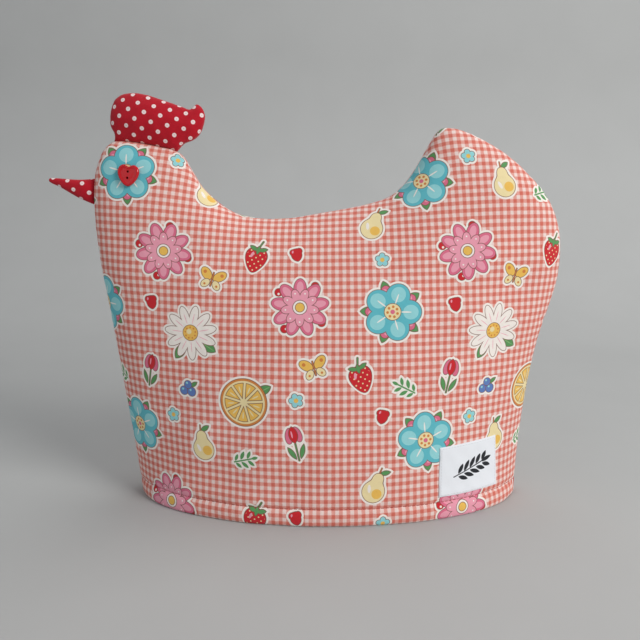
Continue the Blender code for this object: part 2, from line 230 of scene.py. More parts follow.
def slanting_waves(x: np.ndarray, z: np.ndarray, sets: Sequence[tuple], seed: int) -> list[np.ndarray]:
    """Waviness over a cloth from sets of waves, each in its own direction.

    Args:
        x: Places across.
        z: Places up.
        sets: Share of x, share of z and wavelengths of each set.
        seed: Picks the phases of the first set. The numbers after it pick those of the next.

    Returns:
        The height at each place, for each set.
    """
    return [waves(x * across + z * up, lengths, seed + number)
            for number, (across, up, lengths) in enumerate(sets)]


def hump(places: np.ndarray, middle: float, reach: float) -> np.ndarray:
    """Smooth hump of height 1 over a middle, which falls off over its reach."""
    return np.exp(-(((places - middle) / reach) ** 2))


def beside(away: np.ndarray, reach: float) -> np.ndarray:
    """What swells beside an edge: 0 on it, 1 at the reach and little further in."""
    return (away / reach) * np.exp(1 - away / reach)


# Cut pieces and meshes


class CutPiece:
    """A cut piece laid flat: a triangle mesh whose first points lie on its outline, and fields over it."""

    ROW_CLEARANCE = 0.93      # share of its distance that a row keeps from the edge
    CLEARANCE = 0.45          # steps between the lattice and other points
    EXTRA_CLEARANCE = 0.4     # the same for extra rows
    ROW_GAP = 0.5             # steps between the last extra row and the lattice
    MERGED = 1e-6             # millimetres within which two points are one
    ROUNDS = 3000             # at most, to settle a film
    RESIDUE = 1e-14           # share of the first misfit at which it is settled
    EMPTY = 1e-12             # misfit that counts as none
    LEAST = 1e-9              # stands in for nothing where it is divided by

    def __init__(self, outline: np.ndarray, rounded: int, rings: Sequence[float], step: float,
                 rows: Sequence[np.ndarray] = ()) -> None:
        """Fill an outline with triangles.

        Args:
            outline: Closed loop of points, clockwise.
            rounded: How many of its first points round over; closer rows of points follow them.
            rings: Distances of those rows from the edge.
            step: Spacing of the points over the rest.
            rows: More rows of points, from the low edge up.
        """
        edge = line = outline[:rounded]
        right = -left_normals(edge)
        if rounded == len(outline):
            line = np.vstack((edge, edge[:1]))
            right = -left_normals(np.vstack((edge[-2:], edge, edge[:2])))[2:-2]
        parts = [outline]
        for ring in rings:
            row = edge + ring * right
            parts.append(row[(nearest_on(row, line)[0] > self.ROW_CLEARANCE * ring) & inside(row, outline)])
        lattice = self.lattice(outline, step)
        closed = np.vstack((outline, outline[:1]))
        clear = inside(lattice, outline) & (nearest_on(lattice, closed)[0] > self.CLEARANCE * step)
        clear &= nearest_on(lattice, line)[0] > rings[-1] + self.CLEARANCE * step
        if len(rows):
            extra = np.vstack(rows)
            clear &= lattice[:, 1] > extra[:, 1].max() + self.ROW_GAP * step
            far = nearest_on(extra, line)[0] > rings[-1] + self.EXTRA_CLEARANCE * step
            parts.append(extra[far & inside(extra, outline)])
        self.points = np.vstack((*parts, lattice[clear]))
        self.edge_count = len(outline)
        around = list(range(self.edge_count))
        border = list(zip(around, around[1:] + around[:1]))
        filled = delaunay_2d_cdt([Vector(point) for point in self.points], border, [around], 1, self.MERGED)
        self.triangles = np.array(filled[2])
        self.from_edge, self.along_edge = nearest_on(self.points, line)
        self.measure()

    def lattice(self, outline: np.ndarray, step: float) -> np.ndarray:
        """Points of an even triangular lattice over an outline's box.

        Args:
            outline: Points of the outline, in rows.
            step: Spacing of the lattice.

        Returns:
            Rows of x and z.
        """
        low, high = outline.min(0), outline.max(0)
        height = step * math.sqrt(3) / 2
        rows = enumerate(np.arange(low[1] + height / 2, high[1], height))
        return np.array([(x, z) for number, z in rows
                         for x in np.arange(low[0] + step / 2 * (number % 2), high[0], step)])

    def measure(self) -> None:
        """Work out how much each side of a triangle pulls on its ends, and each point's share of the area."""
        ends, pulls = [], []
        self.area = np.zeros(len(self.points))
        for turn in range(3):
            here, ahead, behind = (self.triangles[:, (turn + step) % 3] for step in range(3))
            one, other = self.points[ahead] - self.points[here], self.points[behind] - self.points[here]
            doubled = np.abs(np.cross(one, other))
            ends.append(np.column_stack((ahead, behind)))
            pulls.append(0.5 * (one * other).sum(1) / doubled)
            self.area += np.bincount(here, doubled / 6, len(self.points))
        self.ends, self.pulls = np.vstack(ends), np.concatenate(pulls)

    def strain(self, heights: np.ndarray) -> np.ndarray:
        """Pull of the film on each point.

        Args:
            heights: Height of each point.

        Returns:
            The pull on each point.
        """
        one, other = self.ends.T
        force = self.pulls * (heights[one] - heights[other])
        return np.bincount(one, force, len(heights)) - np.bincount(other, force, len(heights))

    def settle(self, held: np.ndarray, load: float = 0.0, spring: float = 0.0) -> np.ndarray:
        """Heights of a film that is held at the first points and loaded evenly over the rest.

        Args:
            held: Heights of the first points.
            load: Even load.
            spring: Stiffness of a bed of springs under the film, which pull it to zero.

        Returns:
            The height of every point.
        """
        fixed, count = len(held), len(self.points)
        heights = np.zeros(count)
        heights[:fixed] = held
        scale = sum(np.bincount(end, self.pulls, count) for end in self.ends.T)
        scale = np.maximum(scale + spring * self.area, self.LEAST)
        left = load * self.area - self.strain(heights) - spring * self.area * heights
        left[:fixed] = 0.0
        step = left / scale
        grade = (left * step).sum()
        target = self.RESIDUE * max(grade, self.EMPTY)
        for _ in range(self.ROUNDS):
            if grade < target:
                break
            back = self.strain(step) + spring * self.area * step
            back[:fixed] = 0.0
            share = grade / (step * back).sum()
            heights += share * step
            left -= share * back
            eased = left / scale
            before, grade = grade, (left * eased).sum()
            step = eased + grade / before * step
        return heights


def crosses(vertices: np.ndarray, triangles: np.ndarray) -> np.ndarray:
    """Cross product of two sides of each triangle, whose length is twice its area."""
    a, b, c = (vertices[triangles[:, corner]] for corner in range(3))
    return np.cross(b - a, c - a)


def front_normals(vertices: np.ndarray, triangles: np.ndarray) -> np.ndarray:
    """Unit normals at the points of a surface that faces -Y, from the triangles round them.

    Args:
        vertices: Rows of x, y and z.
        triangles: Corners of its triangles.

    Returns:
        One normal for each vertex, in rows.
    """
    across = crosses(vertices, triangles)
    normals = np.zeros_like(vertices)
    for corner in range(3):
        for axis in range(3):
            normals[:, axis] += np.bincount(triangles[:, corner], across[:, axis], len(vertices))
    normals /= np.linalg.norm(normals, axis=1)[:, None]
    return normals if normals[:, 1].sum() < 0 else -normals


def activate(item: bpy.types.Object | None) -> None:
    """Make an object the only selected one and the active one, or deselect everything."""
    for other in bpy.context.selected_objects:
        other.select_set(False)
    if item:
        item.select_set(True)
        bpy.context.view_layer.objects.active = item


def add_object(name: str, data: bpy.types.ID) -> bpy.types.Object:
    """Put an object into the scene.

    Args:
        name: Its name.
        data: Its mesh, lamp or camera.

    Returns:
        The object.
    """
    item = bpy.data.objects.new(name, data)
    bpy.context.scene.collection.objects.link(item)
    return item


def make_object(name: str, vertices: np.ndarray, faces: Iterable[Sequence[int]], sharp: float,
                ) -> bpy.types.Object:
    """Object from vertices in millimetres.

    Args:
        name: Name of the piece.
        vertices: Rows of x, y and z.
        faces: Corners of each face, outward ones anticlockwise or all turned at once.
        sharp: Angle in degrees past which an edge isn't smoothed.

    Returns:
        The object, at the origin, with its place in its mesh.
    """
    mesh = bpy.data.meshes.new(name)
    places = ((vertices + HEM_MIDDLE) * MM).tolist()
    mesh.from_pydata(places, [], [[int(corner) for corner in face] for face in faces])
    work = bmesh.new()
    work.from_mesh(mesh)
    bmesh.ops.recalc_face_normals(work, faces=work.faces)
    work.to_mesh(mesh)
    work.free()
    mesh.shade_smooth()
    mesh.set_sharp_from_angle(angle=math.radians(sharp))
    return add_object(name, mesh)


def flatten(vertices: np.ndarray, triangles: np.ndarray, upright: np.ndarray) -> np.ndarray:
    """Lay a curved surface out flat with as little stretch as can be.

    Args:
        vertices: Rows of x, y and z.
        triangles: Corners of its triangles.
        upright: Rows of x and z that the flat cloth should line up with.

    Returns:
        Rows of u and v in the vertices' own units.
    """
    item = make_object("laid_flat", vertices, triangles, sharp=50.0)
    mesh = item.data
    mesh.uv_layers.new(name="flat")
    activate(item)
    bpy.ops.object.mode_set(mode="EDIT")
    bpy.ops.mesh.select_all(action="SELECT")
    bpy.ops.uv.unwrap(method="MINIMUM_STRETCH", iterations=25, margin=0.0)
    bpy.ops.object.mode_set(mode="OBJECT")
    corners = np.empty(2 * len(mesh.loops))
    mesh.uv_layers["flat"].uv.foreach_get("vector", corners)
    flat = np.empty((len(vertices), 2))
    flat[corner_owners(item)] = corners.reshape(-1, 2)
    bpy.data.objects.remove(item, do_unlink=True)
    bpy.data.meshes.remove(mesh)

    turned, wanted = crosses(flat, triangles).sum(), crosses(upright, triangles).sum()
    flat *= math.sqrt(np.linalg.norm(crosses(vertices, triangles), axis=1).sum() / abs(turned))
    if turned * wanted < 0:
        flat[:, 0] *= -1
    flat -= flat.mean(0)
    aim = upright - upright.mean(0)
    angle = math.atan2(np.cross(flat, aim).sum(), (flat * aim).sum())
    turn = np.array([[math.cos(angle), -math.sin(angle)], [math.sin(angle), math.cos(angle)]])
    return flat @ turn.T + upright.mean(0)


def corner_owners(item: bpy.types.Object) -> np.ndarray:
    """Find the vertex of each face corner of an object's mesh.

    Args:
        item: The object.

    Returns:
        The vertex's number, for each corner.
    """
    owners = np.empty(len(item.data.loops), dtype=int)
    item.data.loops.foreach_get("vertex_index", owners)
    return owners


def write_map(item: bpy.types.Object, name: str, corners: np.ndarray) -> None:
    """Give an object's mesh a UV map in metres, from a row of millimetres for each face corner."""
    layer = item.data.uv_layers.new(name=name)
    layer.uv.foreach_set("vector", np.asarray(corners * MM, dtype=np.float32).ravel())


def dress(item: bpy.types.Object, slot: str, materials: Iterable[bpy.types.Material], *nodes: str) -> None:
    """Give a piece its materials and say where it belongs.

    Args:
        item: The piece.
        slot: The record's material slot; not used.
        materials: Its materials.
        nodes: CAD nodes that it stands for.
    """
    item.data.materials.clear()
    for material in materials:
        item.data.materials.append(material)
    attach(item, BODY)
    if nodes:
        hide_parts(*nodes)
    log.info("%s: %d faces", item.name, len(item.data.polygons))


# Shader maths


class Wire:
    """A socket of a material's nodes, so that sums on it can be written as Python expressions."""

    def __init__(self, board: "Board", socket: bpy.types.NodeSocket) -> None:
        """Wrap an output socket of a board's node."""
        self.board = board
        self.socket = socket

    def __add__(self, other: Value) -> "Wire":
        """Sum."""
        return self.board.maths("ADD", self, other)

    def __sub__(self, other: Value) -> "Wire":
        """Difference."""
        return self.board.maths("SUBTRACT", self, other)

    def __rsub__(self, other: Value) -> "Wire":
        """Difference, with this one taken away."""
        return self.board.maths("SUBTRACT", other, self)

    def __mul__(self, other: Value) -> "Wire":
        """Product."""
        return self.board.maths("MULTIPLY", self, other)

    def __truediv__(self, other: Value) -> "Wire":
        """Quotient."""
        return self.board.maths("DIVIDE", self, other)

    def __abs__(self) -> "Wire":
        """The same without its sign."""
        return self.board.maths("ABSOLUTE", self)

    def __or__(self, other: Value) -> "Wire":
        """The nearer of two distances, which joins two shapes."""
        return self.board.maths("MINIMUM", self, other)

    def __and__(self, other: Value) -> "Wire":
        """The further of two distances, which keeps what two shapes share."""
        return self.board.maths("MAXIMUM", self, other)

    __radd__, __rmul__ = __add__, __mul__

    def within(self, softness: float) -> "Wire":
        """Mask of a distance: 1 where it is below zero and 0 where it is above, over a soft edge."""
        return self.board.maths("MULTIPLY_ADD", self, -1.0 / softness, 0.5, clamp=True)


class Board:
    """The nodes of one material."""

    def __init__(self, name: str, roughness: float) -> None:
        """Make a material with a Principled shader.

        Args:
            name: Name of the material.
            roughness: Roughness of the shader.
        """
        self.material = bpy.data.materials.new(name)
        self.material.use_nodes = True
        self.tree = self.material.node_tree
        self.shader = self.tree.nodes["Principled BSDF"]
        self.plain(roughness=roughness)

    def node(self, kind: str, settings: dict[str, object], inputs: dict[object, object],
             output: object = 0) -> Wire:
        """Add a node.

        Args:
            kind: Blender's name for the node's type, after ShaderNode.
            settings: Properties, which are set first.
            inputs: Wires or plain values for its sockets, by name or number.
            output: The socket that is read, by name or number.

        Returns:
            That socket.
        """
        made = self.tree.nodes.new("ShaderNode" + kind)
        for key, setting in settings.items():
            setattr(made, key, setting)
        for key, given in inputs.items():
            if isinstance(given, Wire):
                self.tree.links.new(given.socket, made.inputs[key])
            else:
                made.inputs[key].default_value = given
        return Wire(self, made.outputs[output])

    def maths(self, operation: str, *values: Value, clamp: bool = False) -> Wire:
        """Math node on values."""
        return self.node("Math", {"operation": operation, "use_clamp": clamp}, dict(enumerate(values)))

    def vector(self, operation: str, *values: object) -> Wire:
        """Vector Math node; a length or a distance is a number."""
        output = "Value" if operation in ("LENGTH", "DISTANCE") else "Vector"
        return self.node("VectorMath", {"operation": operation}, dict(enumerate(values)), output)

    def mix(self, share: Value, under: object, over: object) -> Wire:
        """Blend two colours.

        Args:
            share: How much of the second one shows.
            under: First colour, as a wire or as red, green and blue.
            over: Second colour.

        Returns:
            The blended colour.
        """
        under, over = (one if isinstance(one, Wire) else (*one, 1.0) for one in (under, over))
        settings = {"data_type": "RGBA", "clamp_factor": True}
        return self.node("Mix", settings, {0: share, 6: under, 7: over}, 2)

    def turned(self, place: Wire, degrees: float) -> Wire:
        """A flat vector turned anticlockwise."""
        inputs = {"Vector": place, "Angle": math.radians(degrees)}
        return self.node("VectorRotate", {"rotation_type": "Z_AXIS"}, inputs)

    def place(self, name: str = "") -> Wire:
        """Place in millimetres on one of the piece's UV maps, or on the piece itself."""
        found = self.node("UVMap", {"uv_map": name}, {}) if name else self.node("TexCoord", {}, {}, "Object")
        return self.node("VectorMath", {"operation": "SCALE"}, {0: found, "Scale": 1 / MM})

    def split(self, place: Wire) -> tuple[Wire, Wire]:
        """The first two parts of a vector."""
        first = self.node("SeparateXYZ", {}, {0: place})
        return first, Wire(self, first.socket.node.outputs[1])

    def join(self, u: Value, v: Value) -> Wire:
        """Vector of two numbers."""
        return self.node("CombineXYZ", {}, {0: u, 1: v})

    def noise(self, place: Wire, size: float, detail: float = 2.0) -> Wire:
        """Soft noise about 0.5, with lumps of the given size in the place's units."""
        return self.node("TexNoise", {}, {"Vector": place, "Scale": 1.0 / size, "Detail": detail})

    def bump(self, height: Wire, distance: float, strength: float, below: Wire | None = None) -> Wire:
        """Normal that makes a height show.

        Args:
            height: Height, from 0 to 1.
            distance: Real size of that height in metres.
            strength: Share of it that shows.
            below: Normal of a coarser bump under it.

        Returns:
            The normal.
        """
        under = {"Normal": below} if below else {}
        return self.node("Bump", {}, {"Height": height, "Distance": distance, "Strength": strength, **under})

    def feed(self, socket: str, wire: Wire) -> None:
        """Link a wire to one of the shader's sockets."""
        self.tree.links.new(wire.socket, self.shader.inputs[socket])

    def plain(self, **values: object) -> None:
        """Set sockets of the shader that are the same all over, with words_in_names for their names."""
        for name, value in values.items():
            self.shader.inputs[name.replace("_", " ").title().replace("Ior", "IOR")].default_value = value


def paint(red: int, green: int, blue: int) -> Colour:
    """Linear colour from red, green and blue as a screen shows them, from 0 to 255."""
    shares = (part / 255 for part in (red, green, blue))
    return tuple(part / 12.92 if part <= 0.04045 else ((part + 0.055) / 1.055) ** 2.4 for part in shares)


# Printed motifs


class Ink(Enum):
    """Printing colours of the cloth."""

    WHITE = paint(246, 238, 230)
    CREAM = paint(240, 222, 170)
    SKY = paint(98, 188, 200)
    PALE_SKY = paint(150, 214, 218)
    ROSE = paint(222, 112, 140)
    PALE_ROSE = paint(238, 160, 178)
    CHERRY = paint(205, 40, 48)
    CARAMEL = paint(212, 132, 66)
    HONEY = paint(238, 190, 92)
    LEAF = paint(92, 152, 92)
    PALE_LEAF = paint(140, 184, 120)
    BLUEBERRY = paint(98, 128, 188)
    LINE = paint(128, 84, 72)


class Sketch:
    """Drawing of one motif in millimetres: shapes as distances, painted in the order they are added."""

    SOFTNESS = 0.16
    BORDER_SOFTNESS = 0.256
    LINE_WIDTH = 0.42
    BORDER = 1.35

    def __init__(self, board: Board, place: Wire) -> None:
        """Start a drawing.

        Args:
            board: The material that it is drawn in.
            place: Place on the motif, in millimetres from its middle.
        """
        self.board, self.place = board, place
        self.x, self.y = board.split(place)
        self.layers: list[tuple[Wire, Ink, bool]] = []
        self.reach: Wire | None = None

    def disc(self, x: float, y: float, radius: float, place: Wire | None = None) -> Wire:
        """Distance to a disc."""
        return self.board.vector("DISTANCE", place or self.place, (x, y, 0.0)) - radius

    def seen_from(self, x: float, y: float, turn: float, place: Wire | None) -> Wire:
        """Place as seen from a middle that is turned by some degrees."""
        offset = self.board.vector("SUBTRACT", place or self.place, (x, y, 0.0))
        return self.board.turned(offset, -turn) if turn else offset

    def oval(self, x: float, y: float, wide: float, tall: float, turn: float = 0.0,
             place: Wire | None = None) -> Wire:
        """Distance to an ellipse, near enough for a thin line.

        Args:
            x: Middle.
            y: Middle.
            wide: Half width, before it is turned.
            tall: Half height.
            turn: Degrees that it is turned anticlockwise.
            place: Place to measure from, if not the motif's own.

        Returns:
            The distance.
        """
        offset = self.seen_from(x, y, turn, place)
        far, steep = (self.board.vector("LENGTH", self.board.vector("MULTIPLY", offset, (across, up, 0.0)))
                      for across, up in ((1 / wide, 1 / tall), (wide**-2, tall**-2)))
        return far * (far - 1.0) / steep

    def leaf(self, x: float, y: float, long: float, wide: float, turn: float,
             place: Wire | None = None) -> Wire:
        """Distance to a pointed leaf, which two discs share.

        Args:
            x: Middle.
            y: Middle.
            long: Half length.
            wide: Half width.
            turn: Degrees from upright, anticlockwise.
            place: Place to measure from, if not the motif's own.

        Returns:
            The distance.
        """
        radius = (long**2 + wide**2) / (2 * wide)
        aside = (radius - wide) * math.cos(math.radians(turn)), (radius - wide) * math.sin(math.radians(turn))
        one, other = (self.disc(x + sign * aside[0], y + sign * aside[1], radius, place) for sign in (1, -1))
        return one & other

    def rod(self, x: float, y: float, half: float, thick: float, turn: float = 0.0) -> Wire:
        """Distance to a thin straight stem.

        Args:
            x: Middle.
            y: Middle.
            half: Half length.
            thick: Half width.
            turn: Degrees from upright, anticlockwise.

        Returns:
            The distance.
        """
        across, up = self.board.split(self.seen_from(x, y, turn, None))
        past = self.board.maths("MAXIMUM", abs(up) - half, 0.0)
        return self.board.vector("LENGTH", self.board.join(across, past)) - thick

    def fold(self, count: int, start: float = 0.0) -> Wire:
        """Place turned into the nearest of several equal sectors, whose middle lies along +x.

        Args:
            count: Number of sectors.
            start: Degrees that they are turned.

        Returns:
            The place in its sector.
        """
        board = self.board
        angle = board.maths("ARCTAN2", self.y, self.x)
        sector = 2 * math.pi / count
        shifted = board.maths("MULTIPLY_ADD", angle, 1 / sector, 0.5 - math.radians(start) / sector)
        local = (board.maths("FRACT", shifted) - 0.5) * sector
        far = board.vector("LENGTH", self.place)
        return board.join(far * board.maths("COSINE", local), far * board.maths("SINE", local))

    def mirrored(self) -> Wire:
        """Place with its left side folded over its right one."""
        return self.board.join(abs(self.x), self.y)

    def add(self, ink: Ink, shape: Wire, lined: bool = True, bordered: bool = True) -> None:
        """Put a shape on top of what is there.

        Args:
            ink: Its colour.
            shape: Distance to the shape.
            lined: Whether it has a thin dark outline.
            bordered: Whether the white border goes round it.
        """
        self.layers.append((shape, ink, lined))
        if bordered:
            self.reach = self.reach | shape if self.reach else shape

    def patch(self, ink: Ink, shape: Wire) -> None:
        """Put a lined shape inside what is there."""
        self.add(ink, shape, bordered=False)

    def dab(self, ink: Ink, shape: Wire) -> None:
        """Put a shape without a line inside what is there."""
        self.add(ink, shape, False, False)

    def print_on(self, ground: Wire) -> Wire:
        """Print the drawing on a ground colour, with its white border.

        Args:
            ground: The colour.

        Returns:
            The colour with the drawing on it.
        """
        board = self.board
        colour = board.mix((self.reach - self.BORDER).within(self.BORDER_SOFTNESS), ground, Ink.WHITE.value)
        for shape, ink, lined in self.layers:
            if lined:
                colour = board.mix(shape.within(self.SOFTNESS), colour, Ink.LINE.value)
                shape = shape + self.LINE_WIDTH
            colour = board.mix(shape.within(self.SOFTNESS), colour, ink.value)
        return colour


def blue_bloom(on: Sketch) -> None:
    """Five wide petals in sky blue, with leaves, rosebuds and a cream middle.

    Args:
        on: The drawing.
    """
    between, over = on.fold(5, 54), on.fold(5, 18)
    on.add(Ink.LEAF, on.leaf(15.5, 0, 6.4, 3.4, 90, between))
    on.add(Ink.ROSE, on.disc(15.2, 0, 3.3, between))
    on.dab(Ink.PALE_ROSE, on.disc(14.6, 0.9, 1.5, between))
    on.add(Ink.SKY, on.oval(10.8, 0, 9, 8.4, 0, over))
    on.dab(Ink.PALE_SKY, on.oval(12.2, 0, 5.2, 4.9, 0, over))
    on.dab(Ink.WHITE, on.oval(9, 0, 3.6, 0.45, 0, over))
    on.patch(Ink.CREAM, on.disc(0, 0, 5.8))
    on.dab(Ink.CARAMEL, on.disc(3.4, 0, 0.9, on.fold(7)))
    on.dab(Ink.ROSE, on.disc(0, 0, 1.5))


def pink_bloom(on: Sketch) -> None:
    """Two rings of rose petals round a honey middle, with red berries and white pearls.

    Args:
        on: The drawing.
    """
    outer, inner, corners = on.fold(9), on.fold(9, 20), on.fold(4, 45)
    on.add(Ink.CHERRY, on.disc(17.6, 0, 2.9, corners))
    on.dab(Ink.WHITE, on.disc(17, 0.9, 0.8, corners))
    on.add(Ink.ROSE, on.oval(12.2, 0, 7.6, 4.6, 0, outer))
    on.dab(Ink.PALE_ROSE, on.oval(13.4, 0, 4.2, 2.3, 0, outer))
    on.patch(Ink.PALE_ROSE, on.oval(8.2, 0, 4.8, 3.1, 0, inner))
    on.patch(Ink.WHITE, on.disc(0, 0, 5))
    on.patch(Ink.HONEY, on.disc(0, 0, 3.3))
    on.dab(Ink.WHITE, on.disc(9.8, 0, 0.55, inner))


def orange(on: Sketch) -> None:
    """Round slice of an orange with its segments and a leaf.

    Args:
        on: The drawing.
    """
    slices = on.fold(9)
    x, y = on.board.split(slices)
    wedge = (abs(y) * math.cos(math.pi / 9) - x * math.sin(math.pi / 9) + 0.75) & on.disc(0, 0, 13.3)
    on.add(Ink.LEAF, on.leaf(11, 12, 6, 3.2, -48))
    on.dab(Ink.PALE_LEAF, on.leaf(11.6, 12.6, 4.4, 0.3, -48))
    on.add(Ink.CARAMEL, on.disc(0, 0, 16.4))
    on.dab(Ink.CREAM, on.disc(0, 0, 14.6))
    on.patch(Ink.HONEY, wedge)
    on.dab(Ink.CREAM, on.oval(9, 0, 2.4, 0.5, 0, slices))


def daisy(on: Sketch) -> None:
    """White daisy with a dotted honey middle over two leaves.

    Args:
        on: The drawing.
    """
    petals, sides = on.fold(11), on.mirrored()
    on.add(Ink.LEAF, on.leaf(10.2, -11.2, 6.8, 3.6, -132, sides))
    on.dab(Ink.PALE_LEAF, on.leaf(10.4, -11.4, 5.4, 0.3, -132, sides))
    on.add(Ink.WHITE, on.oval(11.4, 0, 7.6, 3.3, 0, petals))
    on.dab(Ink.PALE_ROSE, on.oval(9.8, 0, 3.6, 0.22, 0, petals))
    on.patch(Ink.HONEY, on.disc(0, 0, 5.6))
    on.dab(Ink.CARAMEL, on.disc(3.7, 0, 0.6, on.fold(9)))
    on.dab(Ink.CREAM, on.disc(-0.8, 1, 1.8))


def strawberry(on: Sketch) -> None:
    """Strawberry with seeds and a ruff of leaves.

    Args:
        on: The drawing.
    """
    board, sides = on.board, on.mirrored()
    flare = board.maths("MULTIPLY_ADD", on.y, 0.035, 1.0)
    body = on.oval(0, -1.6, 7.9, 9.4, 0, board.join(on.x / flare, on.y))
    across, up = (board.maths("FRACT", board.maths("MULTIPLY_ADD", along, 0.22, 0.5)) - 0.5
                  for along in (on.x + on.y, on.y - on.x))
    seed = (board.vector("LENGTH", board.join(across, up)) - 0.16) * 3.2
    on.add(Ink.LEAF, on.rod(1, 10, 2.6, 0.8, -18))
    on.add(Ink.CHERRY, body)
    on.dab(Ink.CREAM, seed & (body + 1.1))
    on.dab(Ink.PALE_ROSE, on.oval(-3.2, 1.6, 0.9, 2.2, -14))
    on.add(Ink.LEAF, on.leaf(3.3, 6.4, 3.6, 1.7, -68, sides) | on.leaf(0, 5.6, 3.6, 1.6, 0, sides))


def pear(on: Sketch) -> None:
    """Yellow pear with a stalk and one leaf.

    Args:
        on: The drawing.
    """
    body = on.board.maths("SMOOTH_MIN", on.disc(0, -4.2, 7.9), on.disc(0.7, 5.2, 3.9), 5.5)
    on.add(Ink.LEAF, on.leaf(4.3, 9.9, 4, 1.9, -66))
    on.add(Ink.CARAMEL, on.rod(0.8, 9.9, 2.6, 0.65, -8))
    on.add(Ink.CREAM, body)
    on.dab(Ink.HONEY, on.disc(2.6, -5.4, 3.4) & (body + 0.8))
    on.dab(Ink.WHITE, on.oval(-3.2, -3, 1.1, 2.8, 16))


def tulip(on: Sketch) -> None:
    """Tulip with its stem and a pair of leaves.

    Args:
        on: The drawing.
    """
    sides = on.mirrored()
    on.add(Ink.LEAF, on.leaf(3.5, -6.6, 5.4, 1.8, -24, sides))
    on.add(Ink.LEAF, on.rod(0, -6.5, 5.6, 0.75))
    on.add(Ink.ROSE, on.oval(2.7, 5, 3, 5.6, 12, sides) & (-0.6 - on.y))
    on.add(Ink.CHERRY, on.leaf(0, 5.2, 6, 3.2, 0))
    on.dab(Ink.PALE_ROSE, on.oval(-0.9, 5.6, 0.5, 2.4))


def sprig(on: Sketch) -> None:
    """Small leafy twig.

    Args:
        on: The drawing.
    """
    sides = on.mirrored()
    leaves = on.leaf(2.9, 4, 2.9, 1.15, -52, sides) | on.leaf(3.3, -0.6, 3.2, 1.25, -52, sides)
    leaves = leaves | on.leaf(2.7, -5.2, 2.6, 1.1, -52, sides) | on.leaf(0, 7.4, 2.4, 1.05, 0)
    on.add(Ink.LEAF, on.rod(0, -0.6, 7, 0.5), lined=False)
    on.add(Ink.LEAF, leaves, lined=False)


def butterfly(on: Sketch) -> None:
    """Honey-coloured butterfly.

    Args:
        on: The drawing.
    """
    sides = on.mirrored()
    on.add(Ink.HONEY, on.oval(4.7, 3, 3.4, 5.2, -48, sides))
    on.add(Ink.CREAM, on.oval(3.8, -3.5, 2.7, 3.7, -140, sides))
    on.dab(Ink.CARAMEL, on.disc(6, 4, 1.2, sides))
    on.dab(Ink.CARAMEL, on.disc(4.2, -4.1, 0.8, sides))
    on.add(Ink.CARAMEL, on.rod(0, 0, 4.6, 0.7))


def blueberries(on: Sketch) -> None:
    """Three blueberries and a leaf.

    Args:
        on: The drawing.
    """
    on.add(Ink.LEAF, on.leaf(4.1, 4.2, 3.6, 1.6, -48))
    for x, y, radius in ((-2.8, -1.7, 3.3), (3.0, -1.2, 3.5), (-0.2, 3.1, 3.1)):
        on.add(Ink.BLUEBERRY, on.disc(x, y, radius))
        on.dab(Ink.PALE_SKY, on.disc(x - 0.9, y + 1.0, 0.8))


def blossom(on: Sketch) -> None:
    """Small five-petalled blossom.

    Args:
        on: The drawing.
    """
    on.add(Ink.PALE_SKY, on.disc(2.9, 0, 2.2, on.fold(5, 18)))
    on.dab(Ink.HONEY, on.disc(0, 0, 1.5))


def heart(on: Sketch) -> None:
    """Small red heart.

    Args:
        on: The drawing.
    """
    lobes = on.disc(2.1, 1.5, 2.5, on.mirrored())
    on.add(Ink.CHERRY, (lobes | on.leaf(0, -0.6, 5.2, 3.9, 0)) & (on.y - 4.1))
    on.dab(Ink.PALE_ROSE, on.oval(-2.2, 1.9, 0.6, 1, -20))


@dataclass(frozen=True)
class Motif:
    """One printed motif: how it is drawn, and how far it reaches."""

    draw: Callable[[Sketch], None]
    radius: float


class Print(Enum):
    """The motifs of the cloth."""

    BLUE_BLOOM = Motif(blue_bloom, 25.0)
    PINK_BLOOM = Motif(pink_bloom, 25.0)
    ORANGE = Motif(orange, 25.0)
    DAISY = Motif(daisy, 25.0)
    STRAWBERRY = Motif(strawberry, 17.0)
    PEAR = Motif(pear, 17.0)
    TULIP = Motif(tulip, 17.0)
    SPRIG = Motif(sprig, 13.3)
    BUTTERFLY = Motif(butterfly, 13.3)
    BLUEBERRIES = Motif(blueberries, 13.3)
    BLOSSOM = Motif(blossom, 9.6)
    HEART = Motif(heart, 9.6)


